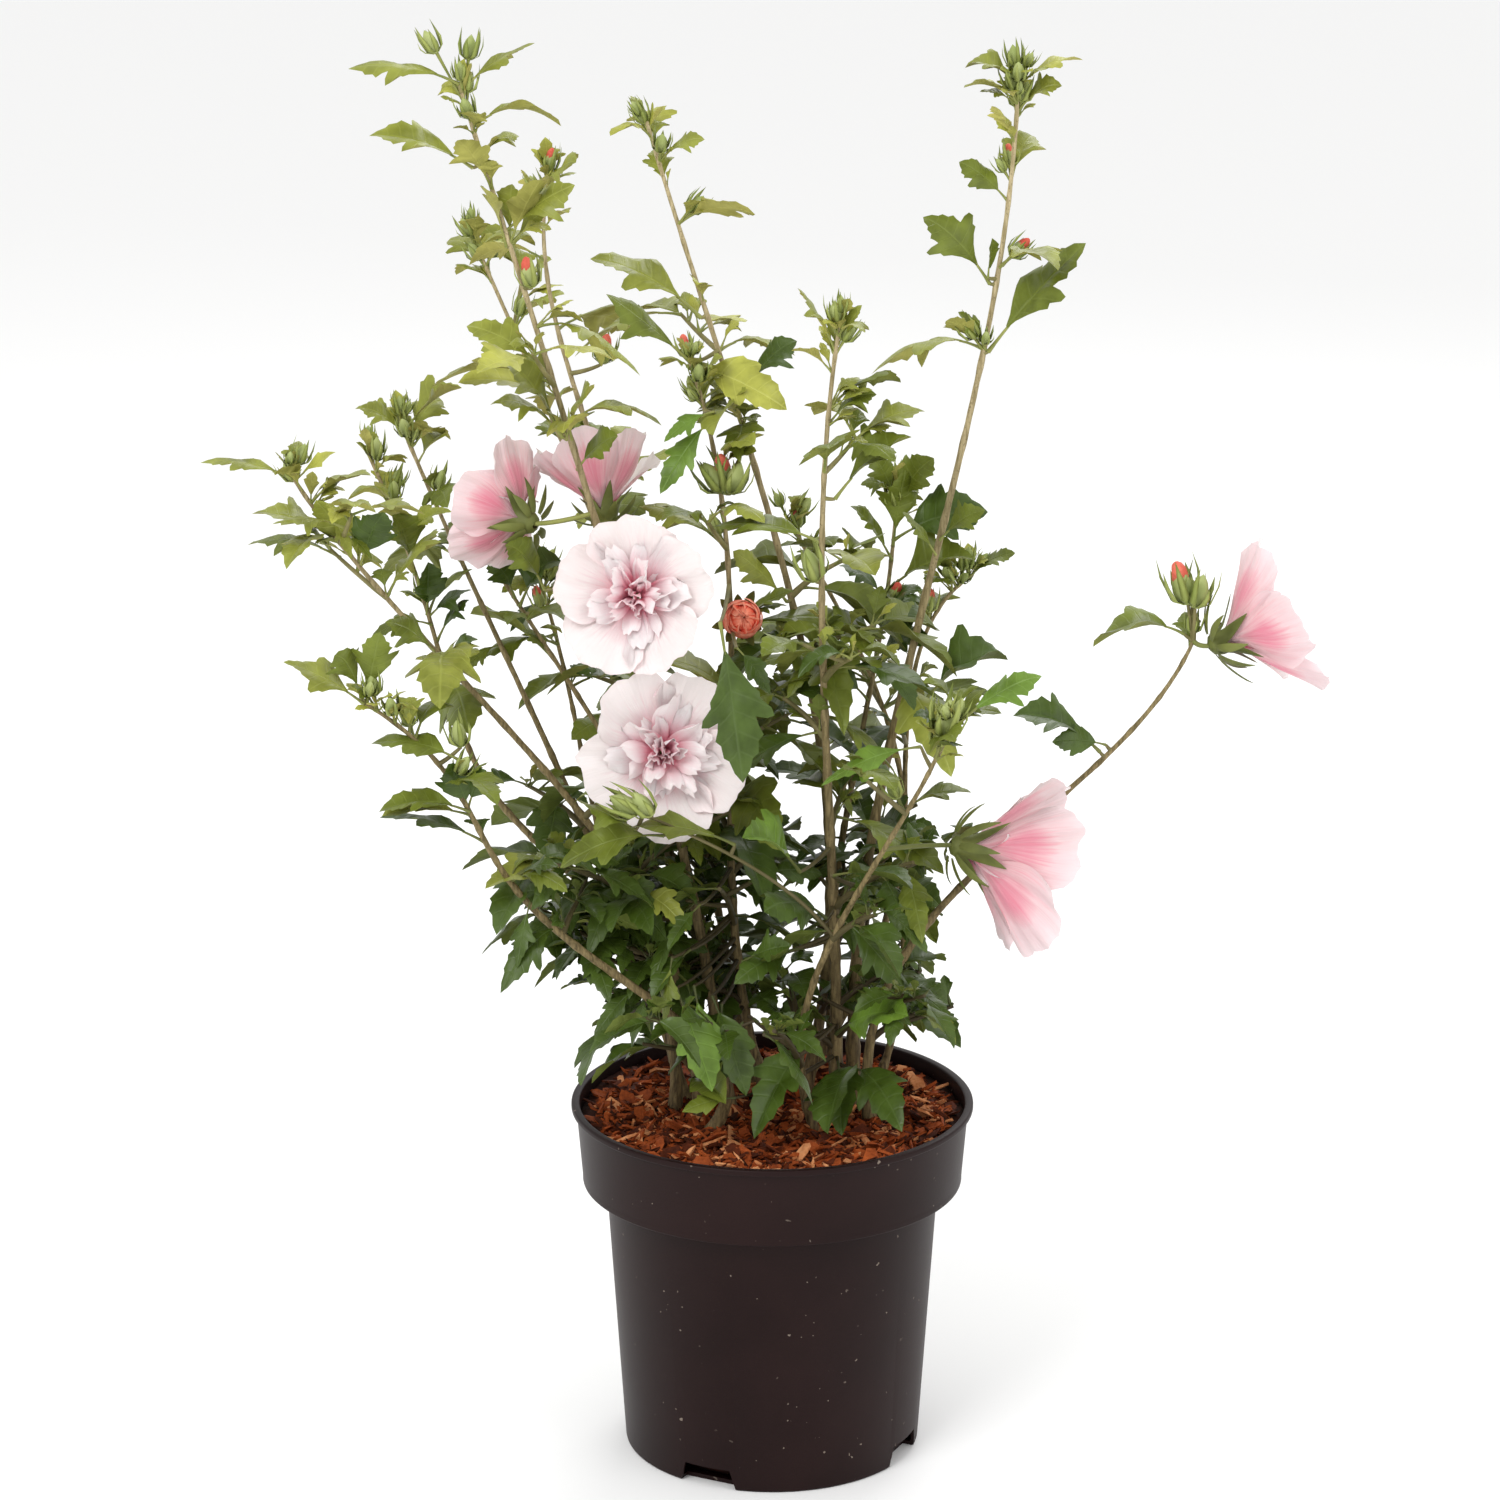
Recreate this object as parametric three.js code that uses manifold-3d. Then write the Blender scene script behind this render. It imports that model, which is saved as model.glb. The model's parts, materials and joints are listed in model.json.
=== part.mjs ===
// Rose of sharon, a flowering shrub with many stems, growing in its nursery pot.
// Millimetres, +Z up, -Y is the front. The origin is the middle of the pot's flat underside.
import * as THREE from "three";
import { mergeVertices } from "three/addons/utils/BufferGeometryUtils.js";
import Module from "manifold-3d";

const wasm = await Module();
wasm.setup();
const { Manifold, Mesh: SolidMesh } = wasm;

const gap = 0.3; // between solids that touch
const leafClearance = 0.8; // between a leaf and the pieces of other nodes
const search = { places: 200, rounds: 8, reach: 20 }; // how a piece finds its seat on a cane
const slack = 0.05; // how far a joined surface may move where its cuts are cleaned up
const leafOverlap = 0.5; // mm³ that two leaves of one mass may share

// ---------------------------------------------------------------- pot and soil

const pot = {
  height: 252,
  rimRadius: 140, // outside of the rolled rim
  rimRoll: 4, // height and overhang of the roll
  collarTop: 136.5,
  collarFoot: 132, // radius at the collar's sharp lower lip
  lipHeight: 194.5,
  neckRadius: 116.4, // just under the lip
  footRadius: 103.4,
  wall: 2.2,
  floor: 3,
  notches: 4, // drain notches round the foot
  firstNotch: -116, // degrees round from +X
  notchWidth: 40,
  notchHeight: 15,
  edge: 1, // how far the rim's and foot's edges are broken
  sides: 40,
};

const soil = { top: 244, flatRadius: 100, sides: 24 };
const ground = soil.top + gap; // every stem is cut flat here

// ---------------------------------------------------------------- stems

// Each stem runs from its foot, past handles that bend it, to its top. Leaves grow on it above leafyFrom.
// placed: leaves that are bigger or further out than the rule gives, as
// [height on the stem, degrees round from +X, degrees above level, length]. buds: the long ones, told alike.
const stems = [
  {
    name: "tall_left",
    foot: [-30, 5],
    handles: [[-60, -5, 493], [-135, -15, 724]],
    top: [-203, -25, 957],
    radius: 4.2,
    leafyFrom: 700,
    seed: 101,
    placed: [[950, 178, 8, 62], [946, 10, 20, 52], [893, 172, 17, 80], [857, 60, 74, 62], [722, 262, 48, 66]],
    buds: [[948, 164, 60, 58], [953, 40, 80, 44]],
  },
  {
    name: "second_left",
    foot: [-38, 38],
    handles: [[-113, 62, 402], [-19, 87, 627], [-185, 111, 714]],
    top: [-154, 135, 879],
    radius: 3.4,
    leafyFrom: 716,
    seed: 102,
  },
  {
    name: "back_left",
    foot: [-22, 62],
    handles: [[-31, 87, 433], [-128, 170, 637]],
    top: [-213, 230, 818],
    radius: 3,
    leafyFrom: 560,
    seed: 103,
  },
  {
    name: "middle",
    foot: [-2, 22],
    handles: [[-59, 23, 410], [2, 28, 598]],
    top: [-56, 30, 768],
    radius: 3.8,
    leafyFrom: 556,
    seed: 104,
    placed: [[572, 275, -66, 88], [764, 205, 40, 72], [742, 20, 22, 60]],
    buds: [[584, 262, 26, 42]],
  },
  {
    name: "far_left",
    foot: [-52, -8],
    handles: [[-40, -12, 435], [-240, -22, 560]],
    top: [-322, -30, 707],
    radius: 3.6,
    leafyFrom: 560,
    seed: 105,
    placed: [[690, 186, 20, 66], [704, 12, 14, 38], [648, 118, 60, 52]],
  },
  {
    name: "upper_left",
    foot: [-60, 24],
    handles: [[-106, 48, 404], [-191, 80, 550]],
    top: [-258, 110, 710],
    radius: 3.2,
    leafyFrom: 590,
    seed: 106,
  },
  {
    name: "low_left",
    foot: [-42, -34],
    handles: [[31, -55, 349], [-290, -77, 399], [-126, -98, 475]],
    top: [-267, -120, 571],
    radius: 3.8,
    leafyFrom: 420,
    seed: 107,
    placed: [[560, 176, 22, 52], [470, 150, -20, 64]],
  },
  {
    name: "left",
    foot: [-68, 3],
    handles: [[-49, 24, 435], [-279, 28, 445], [-171, 42, 458]],
    top: [-277, 60, 700],
    radius: 3.6,
    leafyFrom: 520,
    seed: 108,
  },
  {
    name: "inner_left",
    foot: [-12, 50],
    handles: [[-38, 53, 390], [-120, 63, 498]],
    top: [-196, 70, 623],
    radius: 3,
    leafyFrom: 540,
    seed: 109,
  },
  {
    name: "thin_left",
    foot: [-48, 58],
    handles: [[-129, 66, 351], [-125, 91, 489]],
    top: [-164, 110, 600],
    radius: 2.6,
    leafyFrom: 500,
    seed: 110,
  },
  {
    name: "tall_middle",
    foot: [22, 34],
    handles: [[81, 41, 479], [-15, 60, 682]],
    top: [-85, 75, 923],
    radius: 4,
    leafyFrom: 700,
    seed: 111,
    placed: [[782, 192, 28, 88], [716, 268, 12, 66], [800, 250, 60, 40]],
  },
  {
    name: "front",
    foot: [44, -6],
    handles: [[49, -14, 437], [16, -41, 628]],
    top: [43, -60, 811],
    radius: 4.4,
    leafyFrom: 640,
    seed: 112,
    placed: [[742, 20, 40, 56]],
  },
  {
    name: "front_right",
    foot: [30, -36],
    handles: [[-13, -52, 355], [81, -104, 454]],
    top: [115, -140, 562],
    radius: 3,
    leafyFrom: 440,
    seed: 113,
    placed: [[530, 186, -14, 82]],
  },
  {
    name: "tall_right",
    foot: [58, 14],
    handles: [[41, 17, 488], [158, 24, 712]],
    top: [162, 30, 961],
    radius: 4.4,
    leafyFrom: 660,
    seed: 114,
    placed: [[800, 30, 38, 84], [826, 165, 44, 62], [880, 170, 34, 50], [950, 176, 0, 46], [956, 10, 8, 50]],
    buds: [[955, 150, 80, 28]],
  },
  {
    name: "inner_right",
    foot: [46, 42],
    handles: [[22, 54, 397], [81, 93, 516]],
    top: [87, 120, 658],
    radius: 3.2,
    leafyFrom: 500,
    seed: 115,
  },
  {
    name: "back_middle",
    foot: [24, 70],
    handles: [[126, 92, 404], [113, 160, 452]],
    top: [10, 210, 619],
    radius: 3,
    leafyFrom: 470,
    seed: 116,
  },
  {
    name: "far_right",
    foot: [68, -14],
    handles: [[42, -14, 410], [234, -18, 464]],
    top: [283, -20, 587],
    radius: 3.6,
    leafyFrom: 455,
    seed: 117,
    placed: [[582, 180, 6, 66], [502, 160, 42, 50]],
  },
  {
    name: "back_right",
    foot: [70, 38],
    handles: [[126, 60, 347], [53, 124, 539]],
    top: [143, 170, 585],
    radius: 2.8,
    leafyFrom: 450,
    seed: 118,
  },
];

// Leafy side shoots low on the stems: on a stem at a height, growing out towards a bearing.
const shoots = [
  { name: "front", on: "front_right", height: 292, towards: 256, reach: 92, seed: 201 },
  { name: "front_left", on: "low_left", height: 296, towards: 236, reach: 96, seed: 202 },
  { name: "left", on: "left", height: 336, towards: 214, reach: 92, seed: 203 },
  { name: "back_left", on: "upper_left", height: 318, towards: 150, reach: 100, seed: 204 },
  { name: "inner_left", on: "far_left", height: 392, towards: 222, reach: 84, seed: 205 },
  { name: "middle", on: "middle", height: 372, towards: 262, reach: 84, seed: 206 },
  { name: "front_right", on: "front", height: 300, towards: 304, reach: 92, seed: 207 },
  { name: "right", on: "far_right", height: 300, towards: 346, reach: 92, seed: 208 },
  { name: "inner_right", on: "front", height: 396, towards: 318, reach: 84, seed: 212 },
  { name: "back_right", on: "back_right", height: 312, towards: 30, reach: 98, seed: 209 },
  { name: "back", on: "back_middle", height: 304, towards: 80, reach: 98, seed: 210 },
  { name: "back_middle", on: "back_left", height: 360, towards: 116, reach: 98, seed: 211 },
];

// ---------------------------------------------------------------- flowers

// base is where the calyx starts, facing is the way the flower looks, depth is from calyx to petal edge.
const blooms = [
  {
    name: "centre",
    on: "tall_left",
    base: [-83, -29, 624],
    facing: [-0.14, -0.95, 0.24],
    radius: 53,
    depth: 34,
  },
  {
    name: "lower",
    on: "tall_left",
    base: [-75, -36, 516],
    facing: [0.08, -0.97, 0.14],
    radius: 57,
    depth: 36,
  },
  {
    name: "left",
    on: "tall_left",
    base: [-164, 0, 673],
    facing: [-0.96, -0.22, 0.12],
    radius: 46,
    depth: 44,
  },
  {
    name: "upper",
    on: "second_left",
    base: [-114, 22, 670],
    facing: [-0.12, 0.5, 0.86],
    radius: 41,
    depth: 46,
  },
  {
    name: "right",
    on: "front_right",
    base: [119, -66, 456],
    facing: [0.84, 0.16, -0.5],
    radius: 50,
    depth: 60,
  },
  {
    name: "far_right",
    on: "far_right",
    base: [293, -25, 584],
    facing: [0.9, -0.12, 0.42],
    radius: 50,
    depth: 52,
  },
];

const flower = {
  petals: 5,
  stepsPerPetal: 3,
  rings: [0.5, 1], // of the radius
  thickness: 1.6,
  cleft: 0.12, // how far the edge draws in between petals
  ruffle: 3.5,
  tuft: 0.42, // the inner petals' share of the radius
  calyxLength: 20,
  calyxRadius: 9,
  stalkRadius: 1.9,
};

// ---------------------------------------------------------------- how the shrub grows

const habit = {
  // leaf and rise run from the first leaf to the last; bud and twig are the chance of one beside a leaf.
  stem: {
    spacing: 49,
    leaf: [86, 54],
    rise: [4, 46],
    bud: 0.45,
    twig: 0.34,
    tipLeaves: 3,
    tipBuds: 2,
    lobed: true,
  },
  shoot: {
    spacing: 24,
    leaf: [68, 70],
    rise: [-16, -4],
    bud: 0,
    twig: 0.8,
    tipLeaves: 3,
    tipBuds: 0,
    lobed: false,
  },
  turn: 137.5, // degrees from one leaf to the next
  budsFrom: 0.35, // buds grow on the outer part of a path
  budTurn: 30, // degrees from the leaf beside it
  budRise: 58,
  twig: [34, 62],
  twigsTo: 0.8,
  twigTurn: 95,
  twigRise: 26,
  twigShrink: 0.7, // a twig at the tip, next to one at the start
  twigLeaves: [0.5, 0.78, 0.96], // places along a twig
  twigLeafTurn: 75,
  twigLeafSize: 0.82, // next to the stem's own leaf there
  tipAt: 0.985, // where the last leaves and buds are, with a step between them
  tipStep: 0.023,
  tipTurn: 125,
  tipBudRise: 70,
  tipLeafSize: 0.72,
  twigRadius: [2, 1.5],
  tipRadius: 1.5, // of a cane
  taper: 0.85, // below 1, a cane thins faster near its foot
  flare: 0.6, // how much wider a cane's foot is
  flareFade: 28,
  shootRadius: [2.6, 2],
  shootRise: [46, 34], // degrees above level, at its start and over all
};

const leafShape = {
  stalk: 0.2, // the stalk's share of the length
  stalkOut: 0.011,
  rootHalf: 0.45, // half the stalk's height inside its twig
  middle: 0.42, // where the blade is thickest
  lobeAt: 0.56, // along the length, stalk included
  lobeOut: 0.33,
  cleftAt: 0.66,
  cleftOut: 0.15,
  fold: 0.14, // how far the lobes lift above the midrib
  droop: 0.2, // how far the tip hangs below the leaf's line
  thickness: 1.4,
};

const budShape = { length: 30, tipLength: 27, radius: 5, widestAt: 0.62, sides: 4 };

// How far chance moves each value of the rule, from end to end.
const scatter = { turn: 36, size: 0.3, rise: 30, roll: 50, bud: 60, twig: 70 };

function seededRandom(seed) {
  let state = seed;
  const next = () => {
    state = (1664525 * state + 1013904223) % 4294967296;
    return state / 4294967296;
  };
  for (let i = 0; i < 4; i += 1) next();
  return next;
}

const radians = THREE.MathUtils.degToRad;
const mix = THREE.MathUtils.lerp;

// A unit vector from a bearing round +Z and a rise above level, both in degrees.
function heading(bearing, rise) {
  const [b, r] = [radians(bearing), radians(rise)];
  return new THREE.Vector3(Math.cos(b) * Math.cos(r), Math.sin(b) * Math.cos(r), Math.sin(r));
}

// A Bezier curve with any number of handles.
class BentPath extends THREE.Curve {
  constructor(points) {
    super();
    this.points = points;
  }

  getPoint(t, target = new THREE.Vector3()) {
    let level = this.points;
    while (level.length > 1) {
      level = level.slice(1).map((point, i) => level[i].clone().lerp(point, t));
    }
    return target.copy(level[0]);
  }

  // The place along the path that is at a height.
  atHeight(height) {
    let [low, high] = [0, 1];
    for (let i = 0; i < 40; i += 1) {
      const middle = (low + high) / 2;
      if (this.getPoint(middle).z < height) low = middle;
      else high = middle;
    }
    return low;
  }
}

// The leaves, buds and twigs of one leafy path, from the place `from` to its end. A leaf has its root,
// bearing, rise, length and roll, and a twig holds the leaves that grow on it.
function growth(path, from, rule, seed) {
  const random = seededRandom(seed);
  const around = (middle, spread) => middle + spread * (random() - 0.5);
  const leafAt = (root, bearing, rise, length) => {
    const roll = around(0, scatter.roll);
    return { kind: "leaf", root, bearing, rise, length, roll, lobed: rule.lobed };
  };
  const pieces = [];
  const length = path.getLength() * (1 - from);
  const nodes = Math.max(3, Math.round(length / rule.spacing));
  let bearing = 360 * random();
  for (let i = 0; i < nodes; i += 1) {
    const share = (i + around(0.5, scatter.size)) / nodes;
    const root = path.getPoint(mix(from, 1, share));
    bearing += around(habit.turn, scatter.turn);
    const leafLength = mix(...rule.leaf, share) * around(1, scatter.size);
    const rise = around(mix(...rule.rise, share), scatter.rise);
    pieces.push(leafAt(root, bearing, rise, leafLength));
    const budDraw = random();
    const budBearing = around(bearing + habit.budTurn, scatter.bud);
    const budRise = around(habit.budRise, scatter.rise);
    if (share > habit.budsFrom && budDraw < rule.bud) {
      const budLength = mix(budShape.length, budShape.tipLength, share);
      pieces.push({ kind: "bud", root, bearing: budBearing, rise: budRise, length: budLength });
    }
    const twigDraw = random();
    const twigBearing = around(bearing + habit.twigTurn, scatter.twig);
    const twigLength = mix(...habit.twig, random()) * mix(1, habit.twigShrink, share);
    if (share < habit.twigsTo && twigDraw < rule.twig) {
      const along = heading(twigBearing, rise / 2 + habit.twigRise);
      const tip = root.clone().addScaledVector(along, twigLength);
      const grows = habit.twigLeaves.map((place, k) => {
        const turn = around(twigBearing + (k - 1) * habit.twigLeafTurn, scatter.turn);
        const size = leafLength * habit.twigLeafSize * around(1, scatter.size);
        return leafAt(root.clone().lerp(tip, place), turn, around(rise, scatter.rise), size);
      });
      pieces.push({ kind: "twig", root, tip, grows });
    }
  }
  for (let i = 0; i < rule.tipLeaves; i += 1) {
    const root = path.getPoint(habit.tipAt - habit.tipStep * i);
    const turn = bearing + around((i + 1) * habit.tipTurn, scatter.turn);
    const rise = around(rule.rise[1], scatter.rise);
    pieces.push(leafAt(root, turn, rise, rule.leaf[1] * habit.tipLeafSize * around(1, scatter.size)));
  }
  for (let i = 0; i < rule.tipBuds; i += 1) {
    const root = path.getPoint(habit.tipAt - habit.tipStep * i);
    const turn = bearing + (i + 0.5) * habit.tipTurn;
    const rise = around(habit.tipBudRise, scatter.rise);
    pieces.push({ kind: "bud", root, bearing: turn, rise, length: budShape.tipLength });
  }
  return pieces;
}

// ---------------------------------------------------------------- solids

// A manifold-3d solid of a closed geometry, and the way back to a three.js geometry.
function solidOf(positions, faces) {
  const vertProperties = new Float32Array(positions.flat());
  return new Manifold(new SolidMesh({ numProp: 3, vertProperties, triVerts: new Uint32Array(faces.flat()) }));
}

function solidOfGeometry(geometry) {
  const bare = geometry.clone();
  bare.deleteAttribute("normal");
  bare.deleteAttribute("uv");
  const merged = mergeVertices(bare, 1e-3);
  const index = [...merged.index.array];
  const faces = [];
  for (let i = 0; i < index.length; i += 3) {
    const [a, b, c] = index.slice(i, i + 3);
    if (a !== b && b !== c && a !== c) faces.push(a, b, c);
  }
  const vertProperties = new Float32Array(merged.attributes.position.array);
  return new Manifold(new SolidMesh({ numProp: 3, vertProperties, triVerts: new Uint32Array(faces) }));
}

function geometryOf(solid) {
  const { numProp, vertProperties, triVerts } = solid.getMesh();
  const positions = new Float32Array((vertProperties.length / numProp) * 3);
  for (let i = 0; i < positions.length / 3; i += 1) {
    positions.set(vertProperties.subarray(i * numProp, i * numProp + 3), i * 3);
  }
  const geometry = new THREE.BufferGeometry();
  geometry.setAttribute("position", new THREE.BufferAttribute(positions, 3));
  geometry.setIndex(new THREE.BufferAttribute(new Uint32Array(triVerts), 1));
  geometry.computeVertexNormals();
  return geometry;
}

// The largest body of a union: loose scraps go, and a sealed hollow is filled.
function joined(solids) {
  const bodies = Manifold.union(solids).simplify(slack).decompose();
  return bodies.reduce((best, body) => (body.volume() > best.volume() ? body : best));
}

const triple = (v) => [v.x, v.y, v.z];

// A limb of regular section along a path, with flat ends. A level foot lies flat on the ground.
function limb(path, from, to, radiusAt, { sides, steps, levelFoot = false }) {
  const positions = [];
  const faces = [];
  for (let i = 0; i <= steps; i += 1) {
    const t = mix(from, to, i / steps);
    const centre = path.getPoint(t);
    const tangent = levelFoot && i === 0 ? new THREE.Vector3(0, 0, 1) : path.getTangent(t);
    const side = new THREE.Vector3(0, 1, 0).cross(tangent).normalize();
    const across = tangent.clone().cross(side);
    const radius = radiusAt(t);
    for (let k = 0; k < sides; k += 1) {
      const angle = (2 * Math.PI * k) / sides;
      const point = centre.clone();
      point.addScaledVector(side, radius * Math.cos(angle));
      point.addScaledVector(across, radius * Math.sin(angle));
      positions.push(triple(point));
    }
  }
  for (let i = 0; i < steps; i += 1) {
    for (let k = 0; k < sides; k += 1) {
      const [a, b] = [i * sides + k, i * sides + ((k + 1) % sides)];
      faces.push([a, b, b + sides], [a, b + sides, a + sides]);
    }
  }
  const last = steps * sides;
  for (let k = 1; k < sides - 1; k += 1) {
    faces.push([0, k + 1, k], [last, last + k, last + k + 1]);
  }
  return solidOf(positions, faces);
}

// A leaf on its stalk, folded on the midrib, with a lobe on each side: 18 faces, or 14 without the clefts
// that part the lobes from the tip.
function leaf({ root, bearing, rise, length, roll, lobed }) {
  const along = heading(bearing, rise);
  const level = heading(bearing + 90, 0);
  const up = along.clone().cross(level);
  const side = level.clone().applyAxisAngle(along, radians(roll));
  const normal = up.applyAxisAngle(along, radians(roll));
  const { stalk, stalkOut, rootHalf, middle, fold, droop, thickness } = leafShape;
  const { lobeAt, lobeOut, cleftAt, cleftOut } = leafShape;
  const at = (u, v, lift) => {
    const point = root.clone().addScaledVector(along, u * length);
    point.addScaledVector(side, v * length);
    point.addScaledVector(normal, lift + Math.abs(v) * fold * length);
    point.z -= droop * length * u * u;
    return triple(point);
  };
  const edge = (sign) => {
    const lobe = [at(lobeAt, sign * lobeOut, 0), at(stalk, sign * stalkOut, 0)];
    return lobed ? [at(cleftAt, sign * cleftOut, 0), ...lobe] : lobe;
  };
  const [right, left] = [edge(1), edge(-1).reverse()];
  const layers = [thickness / 2, -thickness / 2].map((lift) => at(middle, 0, lift));
  const roots = [rootHalf, -rootHalf].map((lift) => at(0, 0, lift));
  const positions = [...layers, ...roots, at(1, 0, 0), ...right, ...left];
  const tip = 4;
  const rightEdge = right.map((_, i) => tip + 1 + i);
  const leftEdge = left.map((_, i) => tip + 1 + right.length + i);
  const faces = [
    [2, rightEdge.at(-1), 3],
    [leftEdge[0], 2, 3],
  ];
  [2, 3].forEach((rootEnd, layer) => {
    const outline = [tip, ...rightEdge, rootEnd, ...leftEdge];
    outline.forEach((a, i) => {
      const b = outline[(i + 1) % outline.length];
      faces.push(layer ? [1, b, a] : [0, a, b]);
    });
  });
  return solidOf(positions, faces);
}

// A flower bud on its short stalk, as a spindle.
function bud({ root, bearing, rise, length }) {
  const along = heading(bearing, rise);
  const side = heading(bearing + 90, 0);
  const across = along.clone().cross(side);
  const positions = [triple(root), triple(root.clone().addScaledVector(along, length))];
  const faces = [];
  const { sides } = budShape;
  const radius = (budShape.radius * length) / budShape.length;
  for (let k = 0; k < sides; k += 1) {
    const angle = (2 * Math.PI * k) / sides;
    const point = root.clone().addScaledVector(along, length * budShape.widestAt);
    point.addScaledVector(side, radius * Math.cos(angle));
    point.addScaledVector(across, radius * Math.sin(angle));
    positions.push(triple(point));
    const [a, b] = [2 + k, 2 + ((k + 1) % sides)];
    faces.push([0, b, a], [1, a, b]);
  }
  return solidOf(positions, faces);
}

function twig({ root, tip }) {
  const path = new BentPath([root, tip]);
  const radiusAt = (t) => mix(...habit.twigRadius, t);
  return limb(path, 0, 1, radiusAt, { sides: 3, steps: 1 });
}

const makers = { leaf, bud, twig };

// ---------------------------------------------------------------- the pot and its soil

function lathed(profile, sides) {
  const points = profile.map(([radius, height]) => new THREE.Vector2(radius, height));
  const geometry = new THREE.LatheGeometry(points, sides).rotateX(Math.PI / 2);
  return solidOfGeometry(geometry);
}

function potSolid() {
  const { height, rimRadius, rimRoll, collarTop, collarFoot, lipHeight } = pot;
  const { neckRadius, footRadius, wall, floor, edge } = pot;
  const shell = lathed(
    [
      [0, 0],
      [footRadius - edge, 0],
      [footRadius, edge],
      [neckRadius, lipHeight],
      [collarFoot, lipHeight],
      [collarTop, height - rimRoll - edge],
      [rimRadius, height - rimRoll],
      [rimRadius, height - edge],
      [rimRadius - edge, height],
      [collarTop - wall, height],
      [collarFoot - wall, lipHeight + wall],
      [neckRadius - wall, lipHeight + wall],
      [footRadius - wall, floor],
      [0, floor],
    ],
    pot.sides,
  );
  const notches = Array.from({ length: pot.notches }, (_, i) => {
    const depth = footRadius * 0.3;
    const block = new THREE.BoxGeometry(depth, pot.notchWidth, pot.notchHeight + 10);
    block.translate(footRadius + depth * 0.15, 0, (pot.notchHeight - 10) / 2);
    block.rotateZ(radians(pot.firstNotch + (i * 360) / pot.notches));
    return solidOfGeometry(block);
  });
  return notches.reduce((solid, notch) => solid.subtract(notch), shell);
}

function soilSolid() {
  const { collarTop, collarFoot, lipHeight, neckRadius, footRadius, wall, floor, height } = pot;
  const inner = wall + 2 * gap;
  const topShare = (soil.top - lipHeight) / (height - lipHeight);
  return lathed(
    [
      [0, floor + gap],
      [footRadius - inner - pot.notchHeight, floor + gap],
      [footRadius - inner, floor + gap + pot.notchHeight],
      [neckRadius - inner, lipHeight + wall],
      [neckRadius - inner, lipHeight + inner],
      [collarFoot - inner, lipHeight + inner],
      [mix(collarFoot, collarTop, topShare) - inner, soil.top],
      [soil.flatRadius, soil.top],
      [0, soil.top],
    ],
    soil.sides,
  );
}

// ---------------------------------------------------------------- the flowers

// A frame that looks along `facing`, with its first axis as level as it can be.
function frameOf(facing) {
  const axis = new THREE.Vector3(...facing).normalize();
  const side = new THREE.Vector3(0, 0, 1).cross(axis).normalize();
  return { axis, side, across: axis.clone().cross(side) };
}

// How far from the calyx's foot the petals part.
const throatOf = (depth) => Math.min(depth * 0.3, flower.calyxLength * 0.55);

function petalShell(base, { axis, side, across }, radius, depth) {
  const steps = flower.petals * flower.stepsPerPetal;
  const start = throatOf(depth);
  const place = (ring, angle, lift) => {
    const share = flower.rings[ring];
    const between = Math.abs(Math.cos((flower.petals * angle) / 2));
    const reach = radius * share * (1 - flower.cleft * between * share);
    const wave = flower.ruffle * share * share * Math.cos(flower.petals * angle * 2);
    const height = mix(start, depth, share ** 0.8) + wave + lift;
    const point = base.clone().addScaledVector(axis, height);
    point.addScaledVector(side, reach * Math.cos(angle));
    return triple(point.addScaledVector(across, reach * Math.sin(angle)));
  };
  const half = flower.thickness;
  const rings = flower.rings.length;
  const positions = [];
  for (const lift of [half, -half]) {
    positions.push(triple(base.clone().addScaledVector(axis, start + lift)));
    for (let ring = 0; ring < rings; ring += 1) {
      const edge = ring === rings - 1 ? 0.5 : 1;
      for (let k = 0; k < steps; k += 1) {
        positions.push(place(ring, (2 * Math.PI * k) / steps, lift * edge));
      }
    }
  }
  const layer = 1 + rings * steps;
  const faces = [];
  for (let k = 0; k < steps; k += 1) {
    const next = (k + 1) % steps;
    faces.push([0, 1 + k, 1 + next], [layer, layer + 1 + next, layer + 1 + k]);
    for (let ring = 0; ring < rings - 1; ring += 1) {
      const [a, b] = [1 + ring * steps + k, 1 + ring * steps + next];
      faces.push([a, a + steps, b + steps], [a, b + steps, b]);
      faces.push([layer + a, layer + b + steps, layer + a + steps]);
      faces.push([layer + a, layer + b, layer + b + steps]);
    }
    const [a, b] = [1 + (rings - 1) * steps + k, 1 + (rings - 1) * steps + next];
    faces.push([a, layer + a, layer + b], [a, layer + b, b]);
  }
  return solidOf(positions, faces);
}

// A star with a pointed foot and points that reach out to a height: the calyx and the inner petals.
function star(base, { axis, side, across }, { points, foot, height, valley, radius, waist, centre }) {
  const at = (along, out, angle) => {
    const point = base.clone().addScaledVector(axis, along);
    point.addScaledVector(side, out * Math.cos(angle));
    return triple(point.addScaledVector(across, out * Math.sin(angle)));
  };
  const positions = [at(foot, 0, 0), at(centre, 0, 0)];
  const faces = [];
  const steps = points * 2;
  for (let k = 0; k < steps; k += 1) {
    const angle = (2 * Math.PI * k) / steps;
    positions.push(k % 2 ? at(valley, waist, angle) : at(height, radius, angle));
    const [a, b] = [2 + k, 2 + ((k + 1) % steps)];
    faces.push([0, b, a], [1, a, b]);
  }
  return solidOf(positions, faces);
}

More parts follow.
